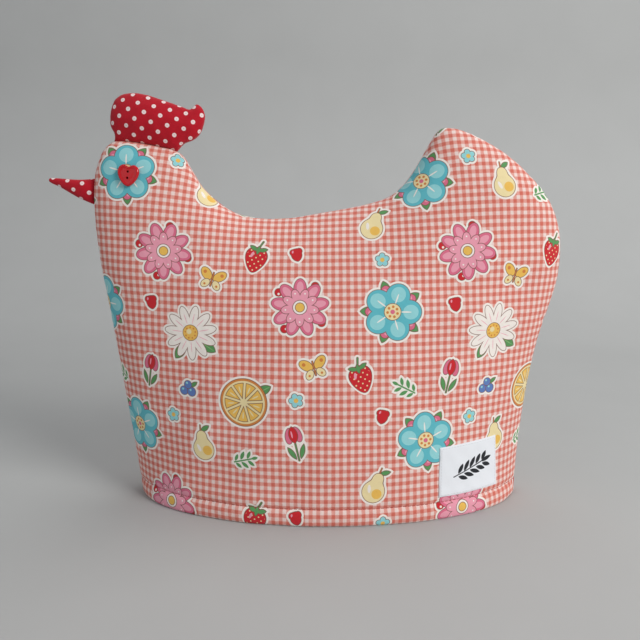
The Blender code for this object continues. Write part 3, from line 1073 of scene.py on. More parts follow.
@dataclass(frozen=True)
class Repeat:
    """The printed repeat of the cloth: a block of motifs that recurs both ways."""

    wide: float = 208.0
    tall: float = 178.0
    motifs: tuple[tuple, ...] = (  # motif, and x, y and turn in degrees of each of its places
        (Print.BLUE_BLOOM, (108.5, 60.8, 6.0), (85.3, 148.2, -20.0)),
        (Print.PINK_BLOOM, (23.8, 151.7, 10.0), (137.0, 9.7, 32.0)),
        (Print.ORANGE, (194.4, 87.4, -14.0)),
        (Print.DAISY, (157.1, 132.6, 12.0)),
        (Print.STRAWBERRY, (201.2, 7.9, -14.0), (63.9, 105.7, 18.0)),
        (Print.PEAR, (164.1, 56.6, 12.0), (73.7, 32.3, -16.0)),
        (Print.TULIP, (20.8, 62.0, 14.0), (124.9, 104.3, -12.0)),
        (Print.SPRIG, (93.5, 97.3, 62.0), (194.7, 48.3, -74.0)),
        (Print.BUTTERFLY, (171.8, 169.8, -14.0), (33.4, 111.5, 16.0)),
        (Print.BLUEBERRIES, (154.2, 93.5, -8.0)),
        (Print.BLOSSOM, (79.2, 5.6, 0.0), (21.6, 90.1, 20.0), (141.4, 73.6, 10.0)),
        (Print.HEART, (128.0, 152.6, 10.0), (78.5, 79.5, -12.0), (20.9, 10.7, 14.0)),
    )

    def spread_over(self, places: np.ndarray, offset: tuple[float, float]) -> tuple[np.ndarray, np.ndarray]:
        """Find which motif each place on the cloth belongs to.

        Args:
            places: Rows of u and v in millimetres.
            offset: Where the repeat starts on the cloth.

        Returns:
            The number of the motif in a list of all that are printed, or -1, and that list, in rows of
            kind, x, y, turn in degrees and radius.
        """
        low, high = places.min(0) - offset, places.max(0) - offset
        kinds = list(Print)
        table = np.array([
            (kinds.index(kind), x + column * self.wide + offset[0], y + row * self.tall + offset[1], turn,
             kind.value.radius)
            for row in range(math.floor(low[1] / self.tall), math.ceil(high[1] / self.tall))
            for column in range(math.floor(low[0] / self.wide), math.ceil(high[0] / self.wide))
            for kind, *spots in self.motifs for x, y, turn in spots
        ])
        away = np.linalg.norm(places[:, None, :] - table[None, :, 1:3], axis=2) / table[:, 4]
        nearest = away.argmin(1)
        nearest[away.min(1) > 1.0] = -1
        return nearest, table


# Finishes


@dataclass(frozen=True)
class Cloth:
    """Woven cotton: the thread structure that all share. Each kind gives its own colours."""

    name: str = "cotton"
    roughness: float = 0.9
    thread: float = 0.38      # millimetres from thread to thread
    lump: float = 5.0         # millimetres across the soft unevenness of the cloth
    depth: float = 0.00012    # metres
    rib_height: float = 0.25  # of the threads, over the depth
    slub_height: float = 0.4  # of their unevenness, over the depth
    slub_length: float = 3.0  # of it, over the thread
    lump_height: float = 6.0  # of the soft unevenness, over the depth
    relief: float = 0.55      # share of the threads' height that shows
    sheen: float = 0.15
    sheen_roughness: float = 0.5
    specular: float = 0.25

    def colours(self, board: Board, place: Wire) -> Wire:
        """Colour of the cloth.

        Args:
            board: The material's board.
            place: Place on the cloth in millimetres.

        Returns:
            The colour there.
        """
        raise NotImplementedError

    def material(self) -> bpy.types.Material:
        """Make the material.

        Returns:
            The material, with its nodes.
        """
        board = Board(self.name, self.roughness)
        place = board.place("grain")
        board.feed("Base Color", self.colours(board, place))
        turns = 2 * math.pi / self.thread
        u, v = board.split(place)
        ribs = board.maths("COSINE", u * turns) * board.maths("COSINE", v * turns)
        slub = board.noise(place, self.thread * self.slub_length, 1.0)
        threads = board.maths("MULTIPLY_ADD", ribs, self.rib_height, 0.5) + slub * self.slub_height
        uneven = board.bump(board.noise(place, self.lump), self.depth * self.lump_height, 0.5)
        board.feed("Normal", board.bump(threads, self.depth, self.relief, uneven))
        board.plain(sheen_weight=self.sheen, sheen_roughness=self.sheen_roughness,
                    specular_ior_level=self.specular)
        return board.material


@dataclass(frozen=True)
class Gingham(Cloth):
    """Printed gingham, with one motif on it or with none."""

    motif: Print | None = None
    column: float = 5.02      # millimetres from column to column
    row: float = 5.21         # millimetres from row to row
    edge: float = 0.55        # softness of a check's edge
    wander: float = 0.5       # millimetres that the edges wander
    wander_length: float = 2.2  # millimetres over which they do
    twill: float = 0.9        # millimetres between the slanting threads where two bands meet
    twill_share: float = 0.12  # how far those threads show
    fading: float = 0.22      # unevenness of the printed colour
    fading_length: float = 1.3  # millimetres across it
    full: Colour = paint(212, 110, 94)
    half: Colour = paint(229, 158, 146)
    bare: Colour = paint(242, 219, 212)

    def colours(self, board: Board, place: Wire) -> Wire:
        """Colour of the cloth.

        Args:
            board: The material's board.
            place: Place on the cloth in millimetres.

        Returns:
            The colour there.
        """
        wobble = board.noise(place, self.wander_length)
        u, v = (along + (wobble - 0.5) * self.wander for along in board.split(place))
        one, other = (
            board.maths("MULTIPLY_ADD", board.maths("PINGPONG", across, pitch / 2) - pitch / 4,
                        1.0 / self.edge, 0.5, clamp=True)
            for across, pitch in ((u, self.column), (v, self.row)))
        threads = board.maths("SINE", (u + v) * (2 * math.pi / self.twill)) * self.twill_share
        cover = (one + other) * 0.5 + (one - other) * threads
        cover = cover + (board.noise(place, self.fading_length, 3.0) - 0.5) * self.fading
        low = board.maths("MULTIPLY", cover, 2.0, clamp=True)
        high = board.maths("MULTIPLY_ADD", cover, 2.0, -1.0, clamp=True)
        colour = board.mix(high, board.mix(low, self.bare, self.half), self.full)
        if self.motif:
            sketch = Sketch(board, board.place("motif"))
            self.motif.value.draw(sketch)
            colour = sketch.print_on(colour)
        return colour


@dataclass(frozen=True)
class DottedCotton(Cloth):
    """Crimson cotton with small white dots."""

    name: str = "dotted_cotton"
    roughness: float = 0.85
    thread: float = 0.34
    lump: float = 4.0
    sheen: float = 0.2
    sheen_roughness: float = 0.45
    specular: float = 0.3
    pitch: float = 10.8       # millimetres between dots of a row; a second row lies between each two
    dot: float = 1.42         # radius
    edge: float = 0.3         # softness of its edge
    wander: float = 0.3       # millimetres that the edge wanders
    wander_length: float = 0.8  # millimetres over which it does
    middle: float = 0.4       # radius of its middle
    middle_edge: float = 0.5  # softness of the middle's edge
    patch: float = 6.0        # millimetres across the uneven ground
    start: tuple[float, float] = (-124.6, 274.0)  # place of one dot on the comb
    slant: float = 10.8       # degrees that the rows run down towards the tail
    ground: Colour = paint(193, 14, 38)
    shade: Colour = paint(176, 8, 30)
    spot: Colour = paint(244, 226, 224)
    spot_middle: Colour = paint(222, 186, 190)

    def colours(self, board: Board, place: Wire) -> Wire:
        """Colour of the cloth.

        Args:
            board: The material's board.
            place: Place on the cloth in millimetres.

        Returns:
            The colour there.
        """
        turned = board.turned(board.vector("SUBTRACT", place, (*self.start, 0.0)), self.slant)
        lattice = board.vector("MULTIPLY", turned, (1 / self.pitch, 1 / self.pitch, 0.0))
        cells = (board.vector("FRACTION", board.vector("ADD", lattice, (shift, shift, 0.0)))
                 for shift in (0.0, 0.5))
        one, other = (board.vector("DISTANCE", cell, (0.5, 0.5, 0.0)) * self.pitch - self.dot
                      for cell in cells)
        spots = one | other
        wobble = (board.noise(place, self.wander_length, 1.0) - 0.5) * self.wander
        patchy = board.mix(board.noise(place, self.patch, 3.0), self.shade, self.ground)
        middle = (spots + self.dot - self.middle).within(self.middle_edge)
        dots = board.mix(middle, self.spot, self.spot_middle)
        return board.mix((spots + wobble).within(self.edge), patchy, dots)


@dataclass(frozen=True)
class PlainCotton(Cloth):
    """Undyed cotton of the inner side."""

    name: str = "inner_cotton"
    roughness: float = 0.92
    thread: float = 0.45
    lump: float = 7.0
    specular: float = 0.2
    patch: float = 9.0        # millimetres across the uneven colour
    colour: Colour = paint(236, 228, 214)
    shade: Colour = paint(224, 214, 198)

    def colours(self, board: Board, place: Wire) -> Wire:
        """Colour of the cloth.

        Args:
            board: The material's board.
            place: Place on the cloth in millimetres.

        Returns:
            The colour there.
        """
        return board.mix(board.noise(place, self.patch, 3.0), self.shade, self.colour)


@dataclass(frozen=True)
class LabelTape(Cloth):
    """White woven tape with a small printed twig."""

    name: str = "label_tape"
    roughness: float = 0.8
    thread: float = 0.3
    lump: float = 6.0
    depth: float = 0.00006
    sheen: float = 0.1
    specular: float = 0.3
    colour: Colour = paint(237, 240, 245)
    print_colour: Colour = paint(34, 36, 42)
    lean: float = 18.0        # degrees that the twig rises to the right
    half_length: float = 12.6
    low: float = -1.0         # height of its middle
    leaf_size: float = 4.5
    leaf_width: float = 1.5
    pairs: int = 5
    sides: tuple[tuple[float, float, float], ...] = (  # a leaf's x and y from the twig, degrees back from it
        (1.1, 3.8, 46.0), (3.0, -3.0, 130.0),
    )
    before: float = 0.42      # share of the pairs that comes before the middle
    spread: float = 1.55      # length that they take, over half the twig's
    fullest: float = 1.5      # number of the largest pair
    taper: float = 0.4        # millimetres by which the next ones are smaller
    tip: float = 1.8          # of the last leaf past the twig's end
    tip_size: float = 4.4
    stem: float = 0.4         # half its width
    edge: float = 0.2         # softness of the print's edge

    def colours(self, board: Board, place: Wire) -> Wire:
        """Colour of the cloth.

        Args:
            board: The material's board.
            place: Place on the cloth in millimetres.

        Returns:
            The colour there.
        """
        sketch = Sketch(board, place)
        right, up = math.cos(math.radians(self.lean)), math.sin(math.radians(self.lean))
        twig = sketch.rod(0.0, self.low, self.half_length, self.stem, self.lean - 90.0)
        leaves = []
        for number in range(self.pairs):
            along = (number / (self.pairs - 1) - self.before) * self.spread * self.half_length
            size = self.leaf_size - self.taper * abs(number - self.fullest)
            leaves += [(along, x, y, size, turn) for x, y, turn in self.sides]
        leaves.append((self.half_length + self.tip, 0.0, 0.0, self.tip_size, 90.0))
        for along, x, y, size, turn in leaves:
            twig = twig | sketch.leaf(along * right + x, self.low + along * up + y, size, self.leaf_width,
                                      self.lean - turn)
        return board.mix(twig.within(self.edge), self.colour, self.print_colour)


@dataclass(frozen=True)
class ButtonPlastic:
    """Glossy red plastic."""

    colour: Colour = paint(206, 10, 26)
    deep: Colour = paint(188, 4, 18)
    roughness: float = 0.2
    patch: float = 4.0        # millimetres across the uneven colour
    scuff: float = 0.12       # how far the roughness varies
    scuff_length: float = 0.9  # millimetres over which it does
    dimple: float = 2.5       # millimetres across a dimple
    depth: float = 0.00006    # metres
    relief: float = 0.3       # share of the dimples' depth that shows
    coat: float = 0.3
    coat_roughness: float = 0.06
    specular: float = 0.35

    def material(self) -> bpy.types.Material:
        """Make the material.

        Returns:
            The material, with its nodes.
        """
        board = Board("button_plastic", self.roughness)
        place = board.place()
        board.feed("Base Color", board.mix(board.noise(place, self.patch), self.deep, self.colour))
        scuffs = board.noise(place, self.scuff_length, 3.0)
        rough = board.maths("MULTIPLY_ADD", scuffs, self.scuff, self.roughness - 0.5 * self.scuff)
        board.feed("Roughness", rough)
        board.feed("Normal", board.bump(board.noise(place, self.dimple, 1.0), self.depth, self.relief))
        board.plain(coat_weight=self.coat, coat_roughness=self.coat_roughness,
                    specular_ior_level=self.specular)
        return board.material


@dataclass(frozen=True)
class SewingThread:
    """Twisted sewing thread of one colour, with painted shade in the grooves between its strands."""

    name: str
    colour: Colour
    # Painted shade: the darkest share of the colour, in the grooves between strands
    strand_groove_shade: float = 0.72      # darkest share of the colour
    roughness: float = 0.6
    strand: float = 0.25      # millimetres across a strand
    squeeze: float = 2.5      # of the strands' pattern upwards
    depth: float = 0.00008    # metres
    relief: float = 0.5       # share of the strands' depth that shows
    sheen: float = 0.3
    specular: float = 0.35

    def material(self) -> bpy.types.Material:
        """Make the material.

        Returns:
            The material, with its nodes.
        """
        board = Board(self.name, self.roughness)
        place = board.vector("MULTIPLY", board.place(), (1.0, 1.0, self.squeeze))
        strands = board.noise(place, self.strand)
        # Painted shade: darker where the strands' bump is low, in the grooves between them
        dark = tuple(self.strand_groove_shade * part for part in self.colour)
        board.feed("Base Color", board.mix(strands, dark, self.colour))
        board.feed("Normal", board.bump(strands, self.depth, self.relief))
        board.plain(sheen_weight=self.sheen, specular_ior_level=self.specular)
        return board.material


# Pieces


@dataclass
class PanelForm:
    """The shape that both padded panels share, worked out for the one on the -Y side."""

    wall: float = 5.5
    hem_half_length: float = 139.5
    hem_half_width: float = 60.5
    hem_roundness: float = 0.54    # 0.5 is an ellipse, 1 a lens
    stitch_height: float = 12.0
    stitch_pitch: float = 3.1
    padding: float = 12.0
    padding_reach: float = 8.0
    bulge: float = 0.0052
    rings: tuple[float, ...] = (0.3, 0.9, 1.8, 3.0, 4.6, 6.6, 9.0)
    inner_step: float = 2.8
    hem_rows: tuple[float, ...] = (
        0.12, 0.4, 0.9, 1.6, 2.8, 4.6, 6.8, 9.0, 10.2, 11.0, 11.6, 12.0, 12.4, 13.0, 13.8, 15.6,
    )
    inner_gap: float = 0.15   # of the inner side from the plane of the seam, at least
    lip: float = 0.9          # how far the padding swells over the seam
    lip_reach: float = 4.5
    groove: float = 0.6       # width of the groove that this leaves at the seam
    pucker: float = 0.24      # gathers along the seam
    pucker_lengths: tuple[float, ...] = (7.3, 9.1, 12.7, 17.9)
    pucker_spans: tuple[float, ...] = (61.0, 97.0, 143.0)  # over which they come and go
    pucker_middle: float = 0.55  # their share on the whole
    pucker_swing: float = 0.45   # what it gains and loses as they come and go
    pucker_limits: tuple[float, float] = (0.1, 1.2)
    pucker_reach: float = 3.0  # from the seam
    pucker_rise: float = 14.0  # height above the hem at which they are full
    unevenness: float = 0.55
    uneven_sets: tuple[tuple, ...] = (  # share of x, share of z, wavelengths; nearly square to each other
        (0.8, 0.6, (83.0, 57.0)), (-0.53, 0.85, (71.0, 49.0)),
    )
    uneven_from: float = 14.0  # distance from the seam at which it is nearly full
    trough: float = 1.3       # depth of the top-stitching
    trough_reach: float = 2.6
    bite: float = 0.6         # share of that depth that lies close under the thread
    bite_reach: float = 0.85
    bite_middle: float = 0.78  # its share on the whole
    bite_swing: float = 0.22  # what it gains at a stitch and loses between two
    band: float = 0.85        # how far the folded hem stands out below it
    band_power: float = 0.6   # 1 is a sine, less is fuller
    swell: float = 0.3        # how far the cloth stands out above it
    swell_rise: float = 5.0   # height of that above the stitching
    swell_reach: float = 4.0
    crinkle: float = 0.18
    crinkle_lengths: tuple[float, ...] = (5.3, 7.7, 11.9)
    crinkle_lean: float = 0.3  # shift along the hem for each millimetre up
    crinkle_height: float = 10.0
    crinkle_reach: float = 7.0
    hem_from: float = 3.0     # distance from the seam at which the hem's forms are nearly full
    hem_radius: float = 2.2   # rounding of the folded edge
    grain_bend: float = 0.00024    # how far the rows curve up towards the ends, per millimetre
    grain_straight: float = 300.0  # height at which they would be straight

    def __post_init__(self) -> None:
        """Cut the panel, and pad and flatten it."""
        seam = panel_seam(-SEAM_INSET)
        inner = np.arange(self.rings[-1] + self.inner_step, self.hem_half_length - 1.0, self.inner_step)
        right = seam[-1, 0] - np.concatenate((self.rings, inner))
        middle = 0.5 * (seam[-1, 0] + seam[0, 0])
        hem = np.concatenate((right, (middle,), 2 * middle - right[::-1]))
        rows = [np.column_stack((hem, np.full_like(hem, height))) for height in (0.0, *self.hem_rows)]
        self.seam_count = len(seam)
        self.piece = CutPiece(np.vstack((seam, rows[0])), len(seam), self.rings, self.inner_step, rows[1:])
        self.raise_surfaces(hem)
        flat = flatten(self.base, self.piece.triangles, self.piece.points)
        self.grain = flat - flat[np.argmin(np.abs(self.piece.points).sum(1))]
        u, v = self.grain.T
        self.grain[:, 1] -= self.grain_bend * u**2 * (1 - v / self.grain_straight)
        self.flat_size = tuple(np.ptp(flat, axis=0) * MM)
        self.flat_area = 0.5 * np.linalg.norm(crosses(self.base, self.piece.triangles), axis=1).sum() * MM**2

    def raise_surfaces(self, hem: np.ndarray) -> None:
        """Work out the smooth outer and inner surfaces.

        Args:
            hem: x of the hem's points.
        """
        piece, count = self.piece, self.seam_count
        seam_heights = np.zeros(count)
        spring = 1.0 / self.padding_reach**2
        full = 1 - np.exp(-(self.hem_half_length - np.abs(hem)) / self.padding_reach)
        fullness = piece.settle(np.concatenate((seam_heights, full)), spring, spring)
        padding = self.padding * np.sqrt(np.clip(fullness, 0.0, None))
        left = np.clip(1 - (hem / self.hem_half_length) ** 2, 0.0, None)
        rim = self.hem_half_width * left**self.hem_roundness - padding[count:piece.edge_count]
        depth = padding + piece.settle(np.concatenate((seam_heights, np.clip(rim, 0.0, None))), self.bulge)
        x, z = piece.points.T
        self.base = np.column_stack((x, -CENTRE_PLANE - depth, z))

        turned_in = -self.wall * left_normals(piece.points[:count])
        turned_in[[0, -1]] = ((self.wall, 0.0), (-self.wall, 0.0))
        across = -self.wall * hem / self.hem_half_length
        shift_x = piece.settle(np.concatenate((turned_in[:, 0], across)))
        shift_z = piece.settle(np.concatenate((turned_in[:, 1], np.zeros(len(hem)))))
        hollow = depth - self.wall * (1 - np.exp(-depth / self.wall))
        self.inner = np.column_stack((x + shift_x, -self.inner_gap - hollow, z + shift_z))

    def finished(self, seed: int) -> np.ndarray:
        """Outer surface with its seam lip, gathers, hem fold and unevenness.

        Args:
            seed: Picks the unevenness.

        Returns:
            Rows of x, y and z.
        """
        piece, count, stitching = self.piece, self.seam_count, self.stitch_height
        x, z = piece.points.T
        away, along, grain = piece.from_edge, piece.along_edge, self.grain[:, 0]
        coming = self.pucker_swing * waves(along, self.pucker_spans, seed + 1)
        strength = np.clip(self.pucker_middle + coming, *self.pucker_limits)
        gather = waves(along, self.pucker_lengths, seed) * self.pucker
        gather *= strength * beside(away, self.pucker_reach) * np.clip(z / self.pucker_rise, 0, 1)
        one, other = slanting_waves(x, z, self.uneven_sets, seed + 2)
        soft = self.unevenness * one * (other * (1 - hump(away, 0.0, self.uneven_from)))
        moved = self.lip * (1 - np.exp(-away / self.groove)) * hump(away, 0.0, self.lip_reach) + gather + soft

        # The thread bites deeper at each stitch than between two
        stitch = self.bite_middle + self.bite_swing * np.cos(2 * math.pi * grain / self.stitch_pitch)
        dip = self.bite * hump(z, stitching, self.bite_reach) * stitch
        dip += (1 - self.bite) * hump(z, stitching, self.trough_reach)
        fold = np.sin(math.pi * np.clip(z, 0, stitching) / stitching) ** self.band_power
        hem = self.band * np.where(z < stitching, fold, 0.0) - self.trough * dip
        hem += self.swell * hump(z, stitching + self.swell_rise, self.swell_reach)
        crinkle = self.crinkle * waves(grain + self.crinkle_lean * z, self.crinkle_lengths, seed + 4)
        hem += crinkle * hump(z, self.crinkle_height, self.crinkle_reach)
        moved += (1 - hump(away, 0.0, self.hem_from)) * hem
        left = np.clip(self.hem_radius - z, 0.0, None)
        moved += np.sqrt(self.hem_radius**2 - left**2) - self.hem_radius
        moved[:count] = np.where(z[:count] < self.hem_radius, moved[:count], 0.0)

        outer = self.base + moved[:, None] * front_normals(self.base, piece.triangles)
        outer[:count, 1] = -CENTRE_PLANE
        outer[:, 1] = np.minimum(outer[:, 1], -CENTRE_PLANE)
        outer[count:piece.edge_count, 2] = 0.0
        outer[[0, count - 1], 2] = 0.0
        outer[:, 2] = np.maximum(outer[:, 2], 0.0)
        return outer


@dataclass
class PaddedPanel:
    """One padded gingham panel."""

    name: str
    node: str
    side: int                 # -1 on the -Y side, 1 on the +Y side
    form: PanelForm
    seed: int
    print_offset: tuple[float, float]
    repeat: Repeat = Repeat()

    def build(self, materials: Sequence[bpy.types.Material]) -> bpy.types.Object:
        """Make the panel.

        Args:
            materials: The plain cloth, the cloth with each motif, and the cloth of the inner side.

        Returns:
            The panel.
        """
        form, piece = self.form, self.form.piece
        turn = np.array((1.0, -self.side, 1.0))
        outer = form.finished(self.seed) * turn
        self.tree = BVHTree.FromPolygons(outer.tolist(), piece.triangles.tolist())
        count = len(piece.points)
        here = np.arange(piece.edge_count)
        after = (here + 1) % piece.edge_count
        rim = np.column_stack((here, after, after + count, here + count))
        faces = [*piece.triangles.tolist(), *(piece.triangles[:, ::-1] + count).tolist(), *rim.tolist()]
        item = make_object(self.name, np.vstack((outer, form.inner * turn)), faces, sharp=60.0)
        dress(item, "checked_cotton", materials, self.node)
        self.lay_print(item)
        wide, tall = form.flat_size
        min(form.flat_area, wide * tall)
        log.info("%s: flat %.0f x %.0f mm, %.4f square metres",
                 item.name, wide / MM, tall / MM, form.flat_area)
        return item

    def lay_print(self, item: bpy.types.Object) -> None:
        """Lay the grain and the printed repeat on the panel.

        Args:
            item: The panel.
        """
        form, polygons = self.form, item.data.polygons
        places = np.vstack((form.grain, form.inner[:, (0, 2)])) * (-self.side, 1.0)
        owners = corner_owners(item)
        spread = places[owners]
        write_map(item, "grain", spread)

        sizes = np.empty(len(polygons), dtype=int)
        polygons.foreach_get("loop_total", sizes)
        faces = np.repeat(np.arange(len(sizes)), sizes)
        centres = np.stack([np.bincount(faces, spread[:, axis]) for axis in (0, 1)], axis=1) / sizes[:, None]
        nearest, printed = self.repeat.spread_over(centres, self.print_offset)
        is_outer = np.bincount(faces, owners < len(form.grain)) == sizes
        nearest[~is_outer] = -1
        slots = np.where(nearest < 0, 0, 1 + printed[np.maximum(nearest, 0), 0].astype(int))
        slots[~is_outer] = len(item.data.materials) - 1
        polygons.foreach_set("material_index", slots.astype(np.int32))

        mine = printed[np.maximum(nearest, 0)][faces]
        u, v = (spread - mine[:, 1:3]).T
        lean = -np.radians(mine[:, 3])
        local = np.column_stack((u * np.cos(lean) - v * np.sin(lean), u * np.sin(lean) + v * np.cos(lean)))
        local[nearest[faces] < 0] = 0.0
        write_map(item, "motif", local)
        item.data.update()
        log.info("%s: %d printed motifs", item.name, len(np.unique(nearest)) - 1)

    def place_at(self, x: float, z: float) -> tuple[Vector, Vector]:
        """Point and outward normal of the panel's face.

        Args:
            x: Millimetres from the middle of the hem.
            z: Millimetres above the hem.

        Returns:
            The point and the normal.
        """
        far = Vector((x, self.side * OUTSIDE, z))
        place, normal, _, _ = self.tree.ray_cast(far, Vector((0.0, -self.side, 0.0)))
        return place, normal if normal.y * self.side > 0 else -normal


@dataclass
class StuffedPiece:
    """Comb or beak: two layers of dotted cotton, stuffed, with the base caught in the panels' seam."""

    name: str
    node: str
    anchors: tuple[tuple[float, float], ...]
    loft: float
    seed: int
    fill: float
    step: float = 1.3
    rings: tuple[float, ...] = (0.18, 0.55, 1.2, 2.1, 3.3)
    inner_step: float = 1.8
    base_gap: float = 0.1     # from the panels' seam
    base_step: float = 0.25   # between the places where an end of the base may lie
    base_least: int = 4       # steps along the base, at least
    cut_from: tuple[float, float] = (0.0, 0.0)  # where on the cloth it is cut, from where it sits
    back_seed: int = 50       # added to the seed for the back layer
    side_gap: float = 0.03    # of each layer from the plane of the seam, at least
    lip: float = 0.45         # these as on the panels
    lip_reach: float = 2.5
    groove: float = 0.4
    pucker: float = 0.12
    pucker_lengths: tuple[float, ...] = (4.1, 5.9, 8.3, 12.1)
    pucker_reach: float = 1.8
    unevenness: float = 0.35
    uneven_sets: tuple[tuple, ...] = ((0.9, 0.4, (17.0, 26.0)), (-0.4, 0.9, (15.0, 22.0)))
    uneven_from: float = 4.0

    def base_line(self) -> np.ndarray:
        """Line just outside the panels' seam, from the last anchor back to the first.

        Returns:
            Its points, in rows.
        """
        fine = even_line(panel_seam(self.base_gap - SEAM_INSET), self.base_step)
        start, end = (int(np.argmin(np.linalg.norm(fine - anchor, axis=1)))
                      for anchor in (self.anchors[-1], self.anchors[0]))
        count = max(self.base_least, round(abs(end - start) * self.base_step / self.step))
        return fine[np.linspace(start, end, count + 1).round().astype(int)]

    def build(self, material: bpy.types.Material) -> bpy.types.Object:
        """Make the piece.

        Args:
            material: Its cloth.

        Returns:
            The piece.
        """
        base = self.base_line()
        free = smooth_line((base[-1], *self.anchors[1:-1], base[0]), self.step)
        outline = np.vstack((free, base[1:-1]))
        piece = CutPiece(outline, len(outline), self.rings, self.inner_step)
        depth = np.sqrt(np.clip(piece.settle(np.zeros(piece.edge_count), 2 * self.loft), 0.0, None))
        x, z = piece.points.T
        smooth = np.column_stack((x, -depth, z))
        grain = flatten(smooth, piece.triangles, piece.points) + self.cut_from

        front, back = (self.finished(piece, smooth, seed) for seed in (self.seed, self.seed + self.back_seed))
        back = back[piece.edge_count:] * (1.0, -1.0, 1.0)
        shift = np.where(piece.triangles < piece.edge_count, 0, len(back))
        faces = [*piece.triangles.tolist(), *(piece.triangles + shift)[:, ::-1].tolist()]
        item = make_object(self.name, np.vstack((front, back)), faces, sharp=70.0)
        write_map(item, "grain", np.vstack((grain, grain[piece.edge_count:]))[corner_owners(item)])
        dress(item, "dotted_cotton", [material], self.node)
        return item

    def finished(self, piece: CutPiece, smooth: np.ndarray, seed: int) -> np.ndarray:
        """One layer with its seam lip, gathers and unevenness.

        Args:
            piece: The cut piece.
            smooth: Its smooth stuffed form.
            seed: Picks the unevenness.

        Returns:
            Rows of x, y and z.
        """
        x, z = piece.points.T
        away, edge = piece.from_edge, piece.edge_count
        moved = self.lip * (1 - np.exp(-away / self.groove)) * hump(away, 0.0, self.lip_reach)
        gather = self.pucker * waves(piece.along_edge, self.pucker_lengths, seed)
        moved += gather * beside(away, self.pucker_reach)
        one, other = slanting_waves(x, z, self.uneven_sets, seed + 1)
        moved += self.unevenness * one * other * (1 - hump(away, 0.0, self.uneven_from))
        moved[:edge] = 0.0
        layer = smooth + moved[:, None] * front_normals(smooth, piece.triangles)
        layer[edge:, 1] = np.minimum(layer[edge:, 1], -self.side_gap)
        return layer


@dataclass(frozen=True)
class Stitch:
    """One short stitch of sewing thread, modelled once and copied along a row."""

    length: float
    radius: float
    flat: float = 0.75        # height over width
    sides: int = 6
    swell: tuple[tuple[float, float], ...] = (  # share of the length, width over the widest
        (0.0, 0.45), (0.12, 0.85), (0.32, 1.0), (0.68, 1.0), (0.88, 0.85), (1.0, 0.45),
    )

    def model(self) -> bpy.types.Object:
        """Model the stitch along z from the origin, with x away from the cloth.

        Returns:
            The stitch.
        """
        activate(None)
        bpy.ops.mesh.primitive_circle_add(vertices=self.sides, radius=self.radius * MM, fill_type="NGON")
        item = bpy.context.object
        first = self.swell[0][1]
        steps = [((end - start) * self.length, after / before)
                 for (start, before), (end, after) in zip(self.swell, self.swell[1:])]
        build_up(item, (first * self.flat, first), steps)
        bpy.ops.object.shade_smooth_by_angle(angle=math.radians(60.0))
        return item

    def sew(self, name: str, slot: str, thread: bpy.types.Material,
            places: Sequence[Place]) -> bpy.types.Object:
        """Copy the stitch to each place and join the copies.

        Args:
            name: Name of the row.
            slot: The record's material slot.
            thread: Material of the thread.
            places: Start of each stitch, its direction, and the direction away from the cloth.

        Returns:
            The whole row as one piece.
        """
        first = self.model()
        twins = []
        for start, along, out in places:
            along = along.normalized()
            out = (out - along * out.dot(along)).normalized()
            twins.append(add_object(name, first.data.copy()))
            twins[-1].data.transform(seat_at(start, (out, along.cross(out), along)))
        bpy.data.objects.remove(first, do_unlink=True)
        activate(twins[0])
        for twin in twins:
            twin.select_set(True)
        bpy.ops.object.join()
        twins[0].name = twins[0].data.name = name
        dress(twins[0], slot, [thread])
        return twins[0]


def build_up(item: bpy.types.Object, first: tuple[float, float], steps: Sequence[tuple[float, float]],
             poked: bool = False) -> None:
    """Raise a flat outline into a closed body, step by step.

    Args:
        item: The outline.
        first: How it is resized across and up before it is raised.
        steps: Rise in millimetres, and size of the next outline over this one's.
        poked: Whether the last outline is split into a fan of triangles.
    """
    bpy.ops.object.mode_set(mode="EDIT")
    bpy.ops.mesh.select_all(action="SELECT")
    bpy.ops.transform.resize(value=(*first, 1.0))
    for rise, size in steps:
        bpy.ops.mesh.extrude_region_move(TRANSFORM_OT_translate={"value": (0.0, 0.0, rise * MM)})
        bpy.ops.transform.resize(value=(size, size, 1.0))
    if poked:
        bpy.ops.mesh.poke()
    bpy.ops.mesh.select_all(action="SELECT")
    bpy.ops.mesh.normals_make_consistent(inside=False)
    bpy.ops.object.mode_set(mode="OBJECT")


def seat_at(place: Vector, axes: Sequence[Vector]) -> Matrix:
    """Seat in the frame for a small piece at a place in millimetres, with its own three axes.

    Args:
        place: The place, from the middle of the hem.
        axes: Its x, y and z axes.

    Returns:
        The matrix that moves its mesh there.
    """
    seat = Matrix(axes).transposed().to_4x4()
    seat.translation = (place + Vector(HEM_MIDDLE)) * MM
    return seat


@dataclass
class HemStitches:
    """Top-stitching along the hem of one panel."""

    panel: PaddedPanel
    name: str
    stitch: Stitch = Stitch(2.5, 0.26)
    sink: float = 0.02        # of the thread's middle line into the cloth
    ends: tuple[float, float] = (-140.8, 139.8)  # x of the row's ends, next to the side seams
    end_gap: float = 1.2
    stations: int = 900

    def build(self, thread: bpy.types.Material) -> bpy.types.Object:
        """Make the stitches.

        Args:
            thread: The thread.

        Returns:
            All of the panel's stitches as one piece.
        """
        first, last = self.ends
        pitch, height = self.panel.form.stitch_pitch, self.panel.form.stitch_height
        sweep = 0.5 + 0.5 * np.sin(np.linspace(-0.5 * math.pi, 0.5 * math.pi, self.stations))
        line = [self.panel.place_at(x, height) for x in first + (last - first) * sweep]
        rows = np.array([(*place, *normal) for place, normal in line])
        length = lengths_along(rows[:, :3])

        def at(station: float, columns: Sequence[int]) -> Vector:
            """Place or normal at a distance along the row."""
            return Vector([float(np.interp(station, length, rows[:, column])) for column in columns])

        places = []
        for start in np.arange(self.end_gap, length[-1] - self.end_gap - pitch, pitch):
            here, out = at(start, (0, 1, 2)), at(start, (3, 4, 5))
            along = at(start + self.stitch.length, (0, 1, 2)) - here
            places.append((here - out * self.sink, along, out))
        return self.stitch.sew(self.name, "checked_cotton", thread, places)


